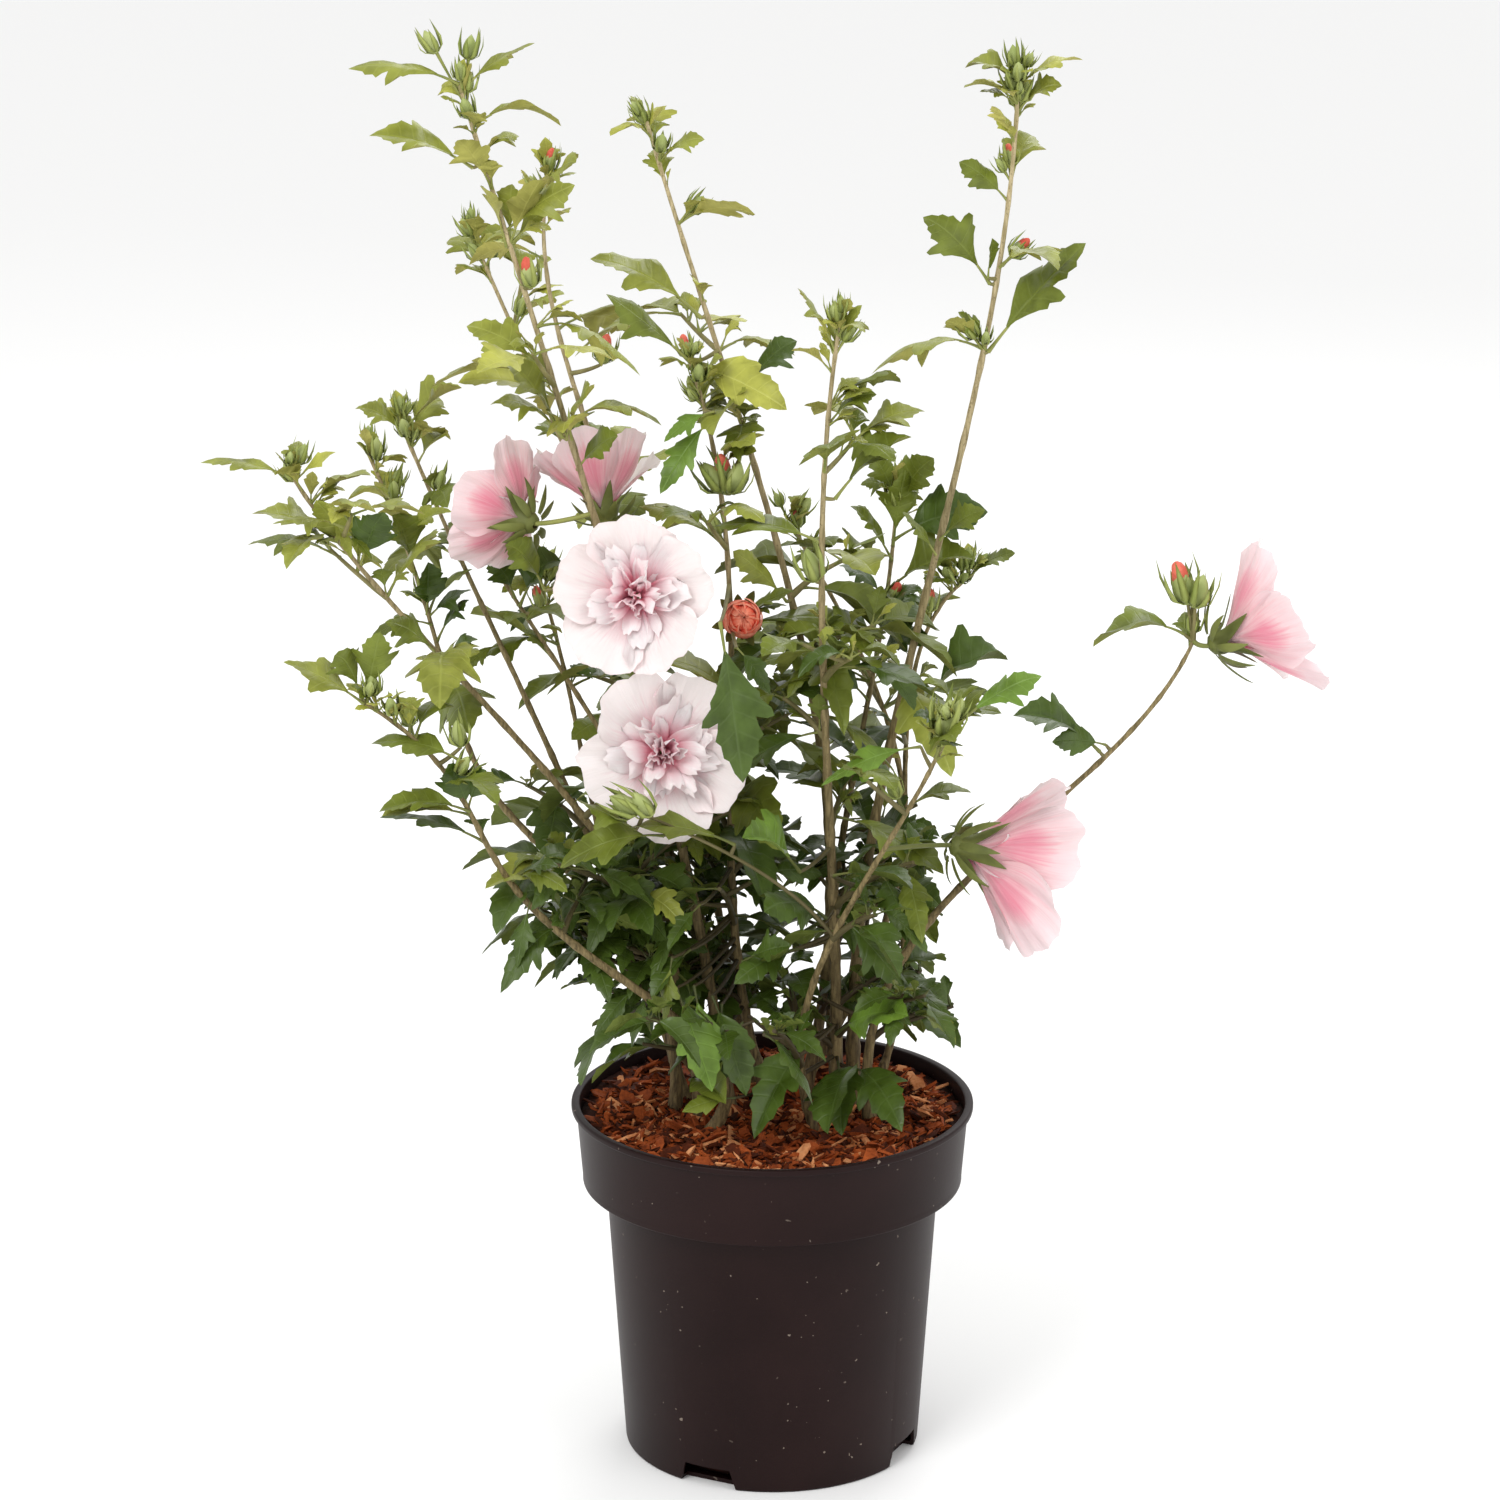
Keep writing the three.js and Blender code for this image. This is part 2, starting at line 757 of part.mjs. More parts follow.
function bloomSolid({ on, base, facing, radius, depth }) {
  const seat = new THREE.Vector3(...base);
  const frame = frameOf(facing);
  const shell = petalShell(seat, frame, radius, depth);
  const tuft = star(seat, frame, {
    points: 6,
    foot: throatOf(depth) - 6,
    height: depth + 5,
    valley: depth - 6,
    radius: radius * flower.tuft,
    waist: radius * flower.tuft * 0.6,
    centre: depth + 3,
  });
  const calyx = star(seat, frame, {
    points: 5,
    foot: 0,
    height: flower.calyxLength,
    valley: flower.calyxLength * 0.6,
    radius: flower.calyxRadius,
    waist: flower.calyxRadius * 0.8,
    centre: flower.calyxLength * 0.8,
  });
  const cane = canes[on];
  const place = nearestPlace(cane.path, seat);
  const out = seat.clone().sub(cane.path.getPoint(place)).normalize();
  const inside = seat.clone().addScaledVector(frame.axis, flower.calyxLength * 0.5);
  const stalkFrom = (start) =>
    limb(new BentPath([start, seat, inside]), 0, 1, () => flower.stalkRadius, { sides: 4, steps: 3 });
  const start = seatedOn(cane, place, out, flower.stalkRadius, stalkFrom);
  return joined([shell, tuft, calyx, stalkFrom(start)]);
}

// ---------------------------------------------------------------- canes and shoots

// A cane is a stem's path with its bare wood, and the trunk of the leafy mass that goes on from it.
function caneOf({ foot, handles, top, radius, leafyFrom }) {
  const points = [[...foot, ground], ...handles, top].map((point) => new THREE.Vector3(...point));
  const path = new BentPath(points);
  const radiusAt = (t) => {
    const flare = 1 + habit.flare * Math.exp(-t * habit.flareFade);
    return mix(radius, habit.tipRadius, t ** habit.taper) * flare;
  };
  const entry = path.atHeight(leafyFrom);
  const leafyEntry = entry + gap / path.getLength();
  const wood = limb(path, 0, entry, radiusAt, { sides: 6, steps: 6, levelFoot: true });
  const trunk = limb(path, leafyEntry, 1, radiusAt, { sides: 3, steps: 4 });
  return { path, radiusAt, leafyEntry, wood, trunk, whole: wood.add(trunk) };
}

const canes = Object.fromEntries(stems.map((stem) => [stem.name, caneOf(stem)]));

function nearestPlace(path, target) {
  const places = Array.from({ length: search.places + 1 }, (_, i) => i / search.places);
  const distance = (place) => path.getPoint(place).distanceTo(target);
  return places.reduce((best, place) => (distance(place) < distance(best) ? place : best));
}

// Where a piece that leaves a cane at a place starts, so that it lies one gap clear of the cane's side.
// It starts too far out, and closes in by what solidFrom(start) has too much.
function seatedOn(cane, place, out, ownRadius, solidFrom) {
  const start = cane.path.getPoint(place);
  start.addScaledVector(out, 2 * cane.radiusAt(place) + 2 * ownRadius);
  for (let i = 0; i < search.rounds; i += 1) {
    start.addScaledVector(out, gap - solidFrom(start).minGap(cane.whole, search.reach));
  }
  return start;
}

// A shoot leaves its cane's side, rises and arches over.
function shootTrunk({ on, height, towards, reach }) {
  const cane = canes[on];
  const [startRise, rise] = habit.shootRise;
  const out = heading(towards, startRise);
  const pathFrom = (start) => {
    const bend = start.clone().addScaledVector(out, reach * 0.5);
    return new BentPath([start, bend, start.clone().addScaledVector(heading(towards, rise), reach)]);
  };
  const radiusAt = (t) => mix(...habit.shootRadius, t);
  const solidFrom = (start) => limb(pathFrom(start), 0, 1, radiusAt, { sides: 3, steps: 2 });
  const start = seatedOn(cane, cane.path.atHeight(height), out, habit.shootRadius[0], solidFrom);
  return { path: pathFrom(start), trunk: solidFrom(start) };
}

// ---------------------------------------------------------------- building the shrub

const placedSolids = []; // every solid so far, with its node's name and box

function near(boxA, boxB, reach) {
  return [0, 1, 2].every((i) => boxA.min[i] - reach < boxB.max[i] && boxB.min[i] - reach < boxA.max[i]);
}

function isClear(solid, node, kind) {
  const box = solid.boundingBox();
  return placedSolids.every((other) => {
    if (!near(box, other.box, leafClearance)) return true;
    if (other.node !== node) return solid.minGap(other.solid, leafClearance) >= leafClearance;
    const bothLeaves = kind === "leaf" && other.kind === "leaf";
    return !bothLeaves || solid.intersect(other.solid).volume() < leafOverlap;
  });
}

function place(node, solid, kind = node) {
  placedSolids.push({ node, solid, kind, box: solid.boundingBox() });
  return solid;
}

// One mass: its trunk, and every twig, leaf and bud of the rule that stays clear of the other nodes.
// What grows on a twig that is skipped is skipped with it.
function massSolid({ node, trunk, pieces }) {
  const kept = [trunk];
  const grow = (piece) => {
    const solid = makers[piece.kind](piece);
    if (!isClear(solid, node, piece.kind)) return;
    kept.push(place(node, solid, piece.kind));
    (piece.grows ?? []).forEach(grow);
  };
  pieces.forEach(grow);
  return joined(kept);
}

const shrub = new THREE.Group();

const finishes = {
  pot: new THREE.MeshStandardMaterial({ color: 0x2f2b2c, roughness: 0.6 }),
  soil: new THREE.MeshStandardMaterial({ color: 0x6f2f16, roughness: 0.95 }),
  bark: new THREE.MeshStandardMaterial({ color: 0xa48e6c, roughness: 0.8 }),
  leaf: new THREE.MeshStandardMaterial({ color: 0x4f7a32, roughness: 0.5, side: THREE.DoubleSide }),
  petal: new THREE.MeshStandardMaterial({ color: 0xf2d3d8, roughness: 0.6 }),
};

function add(name, solid, finish) {
  const mesh = new THREE.Mesh(geometryOf(solid), finishes[finish]);
  mesh.name = name;
  shrub.add(mesh);
}

add("pot", place("pot", potSolid()), "pot");
add("soil", place("soil", soilSolid()), "soil");

for (const [name, { wood, trunk }] of Object.entries(canes)) {
  add(`stem_${name}`, place(`stem_${name}`, wood), "bark");
  place(`foliage_${name}`, trunk);
}

for (const bloom of blooms) {
  const node = `bloom_${bloom.name}`;
  add(node, place(node, bloomSolid(bloom)), "petal");
}

const masses = stems.map(({ name, seed, placed = [], buds = [] }) => {
  const { path, trunk, leafyEntry } = canes[name];
  const set = (kind, [height, bearing, rise, length]) => {
    const root = path.getPoint(Math.min(path.atHeight(height), 1));
    return { kind, root, bearing, rise, length, roll: 0, lobed: true };
  };
  const own = [...placed.map((spot) => set("leaf", spot)), ...buds.map((spot) => set("bud", spot))];
  const pieces = [...own, ...growth(path, leafyEntry, habit.stem, seed)];
  return { node: `foliage_${name}`, trunk, pieces };
});

for (const shoot of shoots) {
  const node = `low_foliage_${shoot.name}`;
  const { path, trunk } = shootTrunk(shoot);
  place(node, trunk);
  masses.push({ node, trunk, pieces: growth(path, 0, habit.shoot, shoot.seed) });
}

masses.forEach((mass) => add(mass.node, massSolid(mass), "leaf"));

export default shrub;
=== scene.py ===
import json
import math

import bpy
import numpy as np
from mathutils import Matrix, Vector

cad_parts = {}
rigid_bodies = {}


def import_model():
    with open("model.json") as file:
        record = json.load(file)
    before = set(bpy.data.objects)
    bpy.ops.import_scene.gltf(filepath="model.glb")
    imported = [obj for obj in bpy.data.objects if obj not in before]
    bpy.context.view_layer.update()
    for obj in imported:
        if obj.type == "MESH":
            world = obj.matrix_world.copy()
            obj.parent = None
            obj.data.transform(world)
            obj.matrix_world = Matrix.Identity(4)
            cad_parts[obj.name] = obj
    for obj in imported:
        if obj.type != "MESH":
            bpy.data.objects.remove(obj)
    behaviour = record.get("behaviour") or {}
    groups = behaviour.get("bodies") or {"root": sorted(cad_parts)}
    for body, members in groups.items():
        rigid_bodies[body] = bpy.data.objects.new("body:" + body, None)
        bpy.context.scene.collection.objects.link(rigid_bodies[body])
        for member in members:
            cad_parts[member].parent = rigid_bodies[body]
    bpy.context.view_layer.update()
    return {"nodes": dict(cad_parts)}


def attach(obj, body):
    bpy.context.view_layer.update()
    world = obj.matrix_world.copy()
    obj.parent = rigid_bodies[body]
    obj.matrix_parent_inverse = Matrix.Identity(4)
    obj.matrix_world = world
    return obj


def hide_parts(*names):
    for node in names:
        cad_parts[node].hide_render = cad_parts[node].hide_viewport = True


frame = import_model()
mm = 0.001  # all sizes below are millimetres, in the frame of the CAD model
fullTurn = 6.283  # radians
print("frame loaded,", len(frame["nodes"]), "nodes")

# the camera looks down on the plant a little, by its pitch in degrees
cameraPlan = {
    "at": (-15.5, -3100.9, 1407.4),
    "pitch": 16.233,
    "viewAngle": 18.0,
    "sensor": 36,
    "farthest": 100000,
}
floorPlan = {
    "size": 16000,
    "colour": (0.95, 0.95, 0.945),
    "roughness": 0.9,
    "sky": (1.0, 1.0, 1.0),
    "skyStrength": 0.95,
}
lampAim = (0, 0, 450)
lamps = {
    "key": {"at": (-1500, -2300, 2900), "size": 1500, "watts": 54},
    "fill": {"at": (2300, -1700, 1500), "size": 1800, "watts": 14},
    "rim": {"at": (700, 2400, 2500), "size": 1600, "watts": 26},
}


def buildStage():
    scene = bpy.context.scene
    scene.view_settings.view_transform = "Standard"
    lens = bpy.data.cameras.new("camera")
    lens.sensor_width = cameraPlan["sensor"]
    lens.angle = math.radians(cameraPlan["viewAngle"])
    lens.clip_end = cameraPlan["farthest"] * mm
    camera = bpy.data.objects.new("camera", lens)
    camera.location = Vector(cameraPlan["at"]) * mm
    camera.rotation_euler = (math.radians(90 - cameraPlan["pitch"]), 0, 0)
    scene.collection.objects.link(camera)
    scene.camera = camera
    for name, plan in lamps.items():
        light = bpy.data.lights.new(name, "AREA")
        light.energy = plan["watts"]
        light.size = plan["size"] * mm
        lamp = bpy.data.objects.new(name, light)
        lamp.location = Vector(plan["at"]) * mm
        aim = Vector(lampAim) * mm - lamp.location
        lamp.rotation_euler = aim.to_track_quat("-Z", "Y").to_euler()
        scene.collection.objects.link(lamp)
    world = bpy.data.worlds.new("studio")
    scene.world = world
    world.use_nodes = True
    sky = world.node_tree.nodes["Background"]
    sky.inputs["Color"].default_value = (*floorPlan["sky"], 1)
    sky.inputs["Strength"].default_value = floorPlan["skyStrength"]
    half = floorPlan["size"] / 2 * mm
    mesh = bpy.data.meshes.new("floor")
    corners = [(-half, -half, 0), (half, -half, 0), (half, half, 0), (-half, half, 0)]
    mesh.from_pydata(corners, [], [(0, 1, 2, 3)])
    paint = bpy.data.materials.new("floorPaint")
    paint.use_nodes = True
    shader = paint.node_tree.nodes["Principled BSDF"]
    shader.inputs["Base Color"].default_value = (*floorPlan["colour"], 1)
    shader.inputs["Roughness"].default_value = floorPlan["roughness"]
    mesh.materials.append(paint)
    floor = bpy.data.objects.new("floor", mesh)
    scene.collection.objects.link(floor)


buildStage()
print("stage built")


# a Wire is one socket of a node, and sums on it add the nodes; a Sheet is one node tree
class Wire:
    def __init__(self, sheet, socket):
        self.sheet = sheet
        self.socket = socket

    def joined(self, operation, first, second):
        return self.sheet.add("ShaderNodeMath", {"operation": operation}, {0: first, 1: second})

    def __add__(self, other):
        return self.joined("ADD", self, other)

    __radd__ = __add__

    def __sub__(self, other):
        return self.joined("SUBTRACT", self, other)

    def __rsub__(self, other):
        return self.joined("SUBTRACT", other, self)

    def __mul__(self, other):
        return self.joined("MULTIPLY", self, other)

    __rmul__ = __mul__

    def __truediv__(self, other):
        return self.joined("DIVIDE", self, other)

    def __gt__(self, other):
        return self.joined("GREATER_THAN", self, other)

    def waved(self):
        return self.joined("COSINE", self, 0.0)

    # from 0 at the low value to 1 at the high one, and level past both
    def clamped(self, low=0.0, high=1.0):
        limits = {"interpolation_type": "LINEAR"}
        sockets = {"Value": self, "From Min": low, "From Max": high, "To Min": 0.0, "To Max": 1.0}
        return self.sheet.add("ShaderNodeMapRange", limits, sockets)

    # 0 up to a level, and from there rising to 1 over a width
    def over(self, level, width):
        return (self - level).clamped(0, width)


class Sheet:
    def __init__(self, tree):
        self.tree = tree

    # adds a node: settings first, then the values or links of its sockets, and gives back one output
    def add(self, kind, settings=None, sockets=None, output=0):
        node = self.tree.nodes.new(kind)
        for key, value in (settings or {}).items():
            if key == "stops":
                self.fillRamp(node.color_ramp, value)
            else:
                setattr(node, key, value)
        for key, value in (sockets or {}).items():
            if isinstance(value, Wire):
                self.tree.links.new(value.socket, node.inputs[key])
            else:
                node.inputs[key].default_value = value
        return Wire(self, node.outputs[output]) if output is not None else None

    def fillRamp(self, ramp, stops):
        while len(ramp.elements) < len(stops):
            ramp.elements.new(0.5)
        for element, (place, colour) in zip(ramp.elements, stops):
            element.position = place
            element.color = (*colour, 1)

    def mixed(self, factor, first, second):
        first, second = [(*c, 1) if isinstance(c, tuple) else c for c in (first, second)]
        return self.add("ShaderNodeMix", {"data_type": "RGBA"}, {0: factor, 6: first, 7: second}, 2)

    def ramp(self, factor, *stops):
        return self.add("ShaderNodeValToRGB", {"stops": stops}, {"Fac": factor})

    def noise(self, where, scale, detail=3.0, roughness=0.55):
        sockets = {"Vector": where, "Scale": scale, "Detail": detail, "Roughness": roughness}
        return self.add("ShaderNodeTexNoise", {}, sockets)


# a Finish is one material; specular and what is fixed are inputs of its shader that don't vary
class Finish(Sheet):
    def __init__(self, name, roughness, specular, fixed=None):
        self.material = bpy.data.materials.new(name)
        self.material.use_nodes = True
        super().__init__(self.material.node_tree)
        self.shader = self.tree.nodes["Principled BSDF"]
        self.feed("Roughness", roughness)
        self.feed("Specular IOR Level", specular)
        for key, value in (fixed or {}).items():
            self.feed(key, value)
        self.place = self.add("ShaderNodeTexCoord", {}, {}, 3)

    def colour(self, value):
        self.feed("Base Color", (*value, 1) if isinstance(value, tuple) else value)

    def feed(self, socket, value):
        if isinstance(value, Wire):
            self.tree.links.new(value.socket, self.shader.inputs[socket])
        else:
            self.shader.inputs[socket].default_value = value

    def bump(self, height, distance, strength):
        sockets = {"Strength": strength, "Distance": distance, "Height": height}
        self.feed("Normal", self.add("ShaderNodeBump", {}, sockets))

    # a piece's own surface map, scaled: first along the piece, then across it
    def own(self, along=1.0, across=1.0):
        spot = self.add("ShaderNodeUVMap", {"uv_map": "surface"})
        return self.add("ShaderNodeVectorMath", {"operation": "MULTIPLY"}, {0: spot, 1: (along, across, 1)})

    # the three numbers of a vector
    def parts(self, vector):
        first = self.add("ShaderNodeSeparateXYZ", {}, {0: vector})
        return [Wire(self, output) for output in first.socket.node.outputs]


# how a leaf, bud or twig is placed: millimetres and degrees, as in the model's own rule
habit = {
    "stem": {
        "spacing": 49,
        "leaf": (86, 54),
        "rise": (4, 46),
        "bud": 0.45,
        "twig": 0.34,
        "tipLeaves": 3,
        "tipBuds": 2,
    },
    "shoot": {
        "spacing": 24,
        "leaf": (68, 70),
        "rise": (-16, -4),
        "bud": 0,
        "twig": 0.8,
        "tipLeaves": 3,
        "tipBuds": 0,
    },
    "turn": 137.5,  # from one leaf to the next
    "budsFrom": 0.35,
    "budTurn": 30,
    "budRise": 58,
    "twig": (34, 62),
    "twigsTo": 0.8,
    "twigTurn": 95,
    "twigRise": 26,
    "twigShrink": 0.7,
    "twigLeaves": (0.5, 0.78, 0.96),
    "twigLeafTurn": 75,
    "twigLeafSize": 0.82,
    "tipAt": 0.985,
    "tipStep": 0.023,
    "tipTurn": 125,
    "tipBudRise": 70,
    "tipLeafSize": 0.72,
    "tipRadius": 1.5,
    "taper": 0.85,
    "flare": 0.6,
    "flareFade": 28,
    "shootRadius": (2.6, 2),
    "shootRise": (46, 34),
    "budLength": (30, 27),
}
scatter = {"turn": 36, "size": 0.3, "rise": 30, "roll": 50, "bud": 60, "twig": 70}
ground = 244.3

# each cane: name, foot, handles, top, radius at the foot, and the height where its leaves start
caneRows = (
    ("tall_left", (-30, 5), ((-60, -5, 493), (-135, -15, 724)), (-203, -25, 957), 4.2, 700),
    (
        "second_left", (-38, 38),
        ((-113, 62, 402), (-19, 87, 627), (-185, 111, 714)), (-154, 135, 879), 3.4, 716,
    ),
    ("back_left", (-22, 62), ((-31, 87, 433), (-128, 170, 637)), (-213, 230, 818), 3, 560),
    ("middle", (-2, 22), ((-59, 23, 410), (2, 28, 598)), (-56, 30, 768), 3.8, 556),
    ("far_left", (-52, -8), ((-40, -12, 435), (-240, -22, 560)), (-322, -30, 707), 3.6, 560),
    ("upper_left", (-60, 24), ((-106, 48, 404), (-191, 80, 550)), (-258, 110, 710), 3.2, 590),
    (
        "low_left", (-42, -34),
        ((31, -55, 349), (-290, -77, 399), (-126, -98, 475)), (-267, -120, 571), 3.8, 420,
    ),
    ("left", (-68, 3), ((-49, 24, 435), (-279, 28, 445), (-171, 42, 458)), (-277, 60, 700), 3.6, 520),
    ("inner_left", (-12, 50), ((-38, 53, 390), (-120, 63, 498)), (-196, 70, 623), 3, 540),
    ("thin_left", (-48, 58), ((-129, 66, 351), (-125, 91, 489)), (-164, 110, 600), 2.6, 500),
    ("tall_middle", (22, 34), ((81, 41, 479), (-15, 60, 682)), (-85, 75, 923), 4, 700),
    ("front", (44, -6), ((49, -14, 437), (16, -41, 628)), (43, -60, 811), 4.4, 640),
    ("front_right", (30, -36), ((-13, -52, 355), (81, -104, 454)), (115, -140, 562), 3, 440),
    ("tall_right", (58, 14), ((41, 17, 488), (158, 24, 712)), (162, 30, 961), 4.4, 660),
    ("inner_right", (46, 42), ((22, 54, 397), (81, 93, 516)), (87, 120, 658), 3.2, 500),
    ("back_middle", (24, 70), ((126, 92, 404), (113, 160, 452)), (10, 210, 619), 3, 470),
    ("far_right", (68, -14), ((42, -14, 410), (234, -18, 464)), (283, -20, 587), 3.6, 455),
    ("back_right", (70, 38), ((126, 60, 347), (53, 124, 539)), (143, 170, 585), 2.8, 450),
)
firstSeed = 101  # of the first cane, and one more for each after it
# leaves and long buds with a place of their own on a cane: height, bearing, rise and length
caneLeaves = {
    "tall_left": ((857, 60, 74, 62), (722, 262, 48, 66)),
    "middle": ((742, 20, 22, 60),),
    "far_left": ((648, 118, 60, 52),),
    "tall_middle": ((716, 268, 12, 66), (800, 250, 60, 40)),
    "front": ((742, 20, 40, 56),),
}
caneBuds = {
    "tall_left": ((948, 164, 60, 58), (953, 40, 80, 44)),
    "tall_right": ((955, 150, 80, 28),),
}
stems = {}
for number, (name, foot, handles, top, radius, leafyFrom) in enumerate(caneRows):
    stems[name] = {
        "foot": foot,
        "handles": handles,
        "top": top,
        "radius": radius,
        "leafyFrom": leafyFrom,
        "seed": firstSeed + number,
        "leaves": caneLeaves.get(name, ()),
        "buds": caneBuds.get(name, ()),
    }

# leafy side shoots: (cane, height on it, bearing, reach, seed)
shoots = (
    ("front_right", 292, 256, 92, 201),
    ("low_left", 296, 236, 96, 202),
    ("left", 336, 214, 92, 203),
    ("upper_left", 318, 150, 100, 204),
    ("far_left", 392, 222, 84, 205),
    ("middle", 372, 262, 84, 206),
    ("front", 300, 304, 92, 207),
    ("far_right", 300, 346, 92, 208),
    ("front", 396, 318, 84, 212),
    ("back_right", 312, 30, 98, 209),
    ("back_middle", 304, 80, 98, 210),
    ("back_left", 360, 116, 98, 211),
)


# chances between 0 and 1, the same ones for the same seed
lottery = {"times": 1664525, "more": 1013904223, "size": 2**32, "skipped": 4}


def seededRandom(seed):
    state = seed

    def draw():
        nonlocal state
        state = (lottery["times"] * state + lottery["more"]) % lottery["size"]
        return state / lottery["size"]

    for _ in range(lottery["skipped"]):
        draw()
    return draw


def mix(first, second, share):
    return first + (second - first) * share


def unit(vector):
    return vector / np.linalg.norm(vector)


def heading(bearing, rise):
    b = math.radians(bearing)
    r = math.radians(rise)
    return np.array((math.cos(b) * math.cos(r), math.sin(b) * math.cos(r), math.sin(r)))


def turned(vector, axis, angle):
    axis = unit(axis)
    return (
        vector * math.cos(angle)
        + np.cross(axis, vector) * math.sin(angle)
        + axis * np.dot(axis, vector) * (1 - math.cos(angle))
    )


# a Bezier curve with any number of handles; a place on it runs from 0 to 1
class BentPath:
    def __init__(self, points):
        self.points = np.array(points, float)

    def at(self, place):
        level = self.points
        while len(level) > 1:
            level = level[:-1] + (level[1:] - level[:-1]) * place
        return level[0]

    def line(self, start, end, count):
        return np.array([self.at(place) for place in np.linspace(start, end, count)])

    def length(self):
        return np.linalg.norm(np.diff(self.line(0, 1, 201), axis=0), axis=1).sum()

    def atHeight(self, height):
        low = 0.0
        high = 1.0
        for _ in range(40):
            middle = (low + high) / 2
            if self.at(middle)[2] < height:
                low = middle
            else:
                high = middle
        return low

    def nearest(self, target):
        places = np.linspace(0, 1, 201)
        gaps = [np.linalg.norm(self.at(place) - target) for place in places]
        return places[int(np.argmin(gaps))]


def caneRadius(stem, place):
    flare = 1 + habit["flare"] * math.exp(-place * habit["flareFade"])
    return mix(stem["radius"], habit["tipRadius"], place ** habit["taper"]) * flare


def sprout(kind, root, bearing, rise, length, roll=0):
    return {"kind": kind, "root": root, "bearing": bearing, "rise": rise, "length": length, "roll": roll}


# what grows on a path from a place on it to its tip, by a rule
def growth(path, start, rule, seed):
    draw = seededRandom(seed)

    def around(middle, spread):
        return middle + spread * (draw() - 0.5)

    def leafAt(root, bearing, rise, length):
        return sprout("leaf", root, bearing, rise, length, around(0, scatter["roll"]))

    found = []
    nodes = max(3, math.floor(path.length() * (1 - start) / rule["spacing"] + 0.5))
    bearing = 360 * draw()
    for i in range(nodes):
        share = (i + around(0.5, scatter["size"])) / nodes
        root = path.at(mix(start, 1, share))
        bearing += around(habit["turn"], scatter["turn"])
        leafLength = mix(*rule["leaf"], share) * around(1, scatter["size"])
        rise = around(mix(*rule["rise"], share), scatter["rise"])
        found.append(leafAt(root, bearing, rise, leafLength))
        budDraw = draw()
        budBearing = around(bearing + habit["budTurn"], scatter["bud"])
        budRise = around(habit["budRise"], scatter["rise"])
        if share > habit["budsFrom"] and budDraw < rule["bud"]:
            found.append(sprout("bud", root, budBearing, budRise, mix(*habit["budLength"], share)))
        twigDraw = draw()
        twigBearing = around(bearing + habit["twigTurn"], scatter["twig"])
        twigLength = mix(*habit["twig"], draw()) * mix(1, habit["twigShrink"], share)
        if share < habit["twigsTo"] and twigDraw < rule["twig"]:
            tip = root + heading(twigBearing, rise / 2 + habit["twigRise"]) * twigLength
            grows = []
            for k, place in enumerate(habit["twigLeaves"]):
                turn = around(twigBearing + (k - 1) * habit["twigLeafTurn"], scatter["turn"])
                size = leafLength * habit["twigLeafSize"] * around(1, scatter["size"])
                leafRise = around(rise, scatter["rise"])
                grows.append(leafAt(mix(root, tip, place), turn, leafRise, size))
            found.append({"kind": "twig", "root": root, "tip": tip, "grows": grows})
    for i in range(rule["tipLeaves"]):
        root = path.at(habit["tipAt"] - habit["tipStep"] * i)
        turn = bearing + around((i + 1) * habit["tipTurn"], scatter["turn"])
        rise = around(rule["rise"][1], scatter["rise"])
        size = rule["leaf"][1] * habit["tipLeafSize"] * around(1, scatter["size"])
        found.append(leafAt(root, turn, rise, size))
    for i in range(rule["tipBuds"]):
        root = path.at(habit["tipAt"] - habit["tipStep"] * i)
        turn = bearing + (i + 0.5) * habit["tipTurn"]
        rise = around(habit["tipBudRise"], scatter["rise"])
        found.append(sprout("bud", root, turn, rise, habit["budLength"][1]))
    return found


# one piece's mesh while it is gathered: points, faces, surface map and the finish of each face
class Pile:
    def __init__(self):
        self.points = []
        self.surface = []
        self.faces = []
        self.count = 0

    # finish is one number, or one for each group of faces
    def put(self, points, faces, surface, finish=0):
        self.points.append(np.asarray(points, float))
        self.surface.append(np.asarray(surface, float))
        finishes = finish if isinstance(finish, (list, tuple)) else [finish] * len(faces)
        for group, kind in zip(faces, finishes):
            group = np.asarray(group) + self.count
            self.faces.append((group, np.broadcast_to(kind, len(group))))
        self.count += len(points)

    def mesh(self, name, materials, crease=None):
        points = np.concatenate(self.points) * mm
        surface = np.concatenate(self.surface)
        corners = np.concatenate([group.ravel() for group, _ in self.faces])
        totals = np.concatenate([np.full(len(group), group.shape[1]) for group, _ in self.faces])
        finish = np.concatenate([finish for _, finish in self.faces])
        mesh = bpy.data.meshes.new(name)
        mesh.vertices.add(len(points))
        mesh.vertices.foreach_set("co", points.astype(np.float32).ravel())
        mesh.loops.add(len(corners))
        mesh.loops.foreach_set("vertex_index", corners.astype(np.int32))
        mesh.polygons.add(len(totals))
        mesh.polygons.foreach_set("loop_start", (np.cumsum(totals) - totals).astype(np.int32))
        mesh.polygons.foreach_set("material_index", finish.astype(np.int32))
        mesh.update(calc_edges=True)
        layer = mesh.uv_layers.new(name="surface")
        layer.data.foreach_set("uv", surface[corners].astype(np.float32).ravel())
        mesh.shade_smooth()
        if crease:
            mesh.set_sharp_from_angle(angle=math.radians(crease))
        for material in materials:
            mesh.materials.append(material)
        return mesh


madePieces = []  # every finished piece, with its slot and the nodes that it stands for


def finished(name, mesh, slot, nodes):
    made = bpy.data.objects.new(name, mesh)
    bpy.context.scene.collection.objects.link(made)
    madePieces.append((made, slot, nodes))
    print("made", name, sum(len(face.vertices) - 2 for face in mesh.polygons), "triangles")


def nodesNamed(*starts):
    return [name for name in sorted(frame["nodes"]) if name.startswith(starts)]


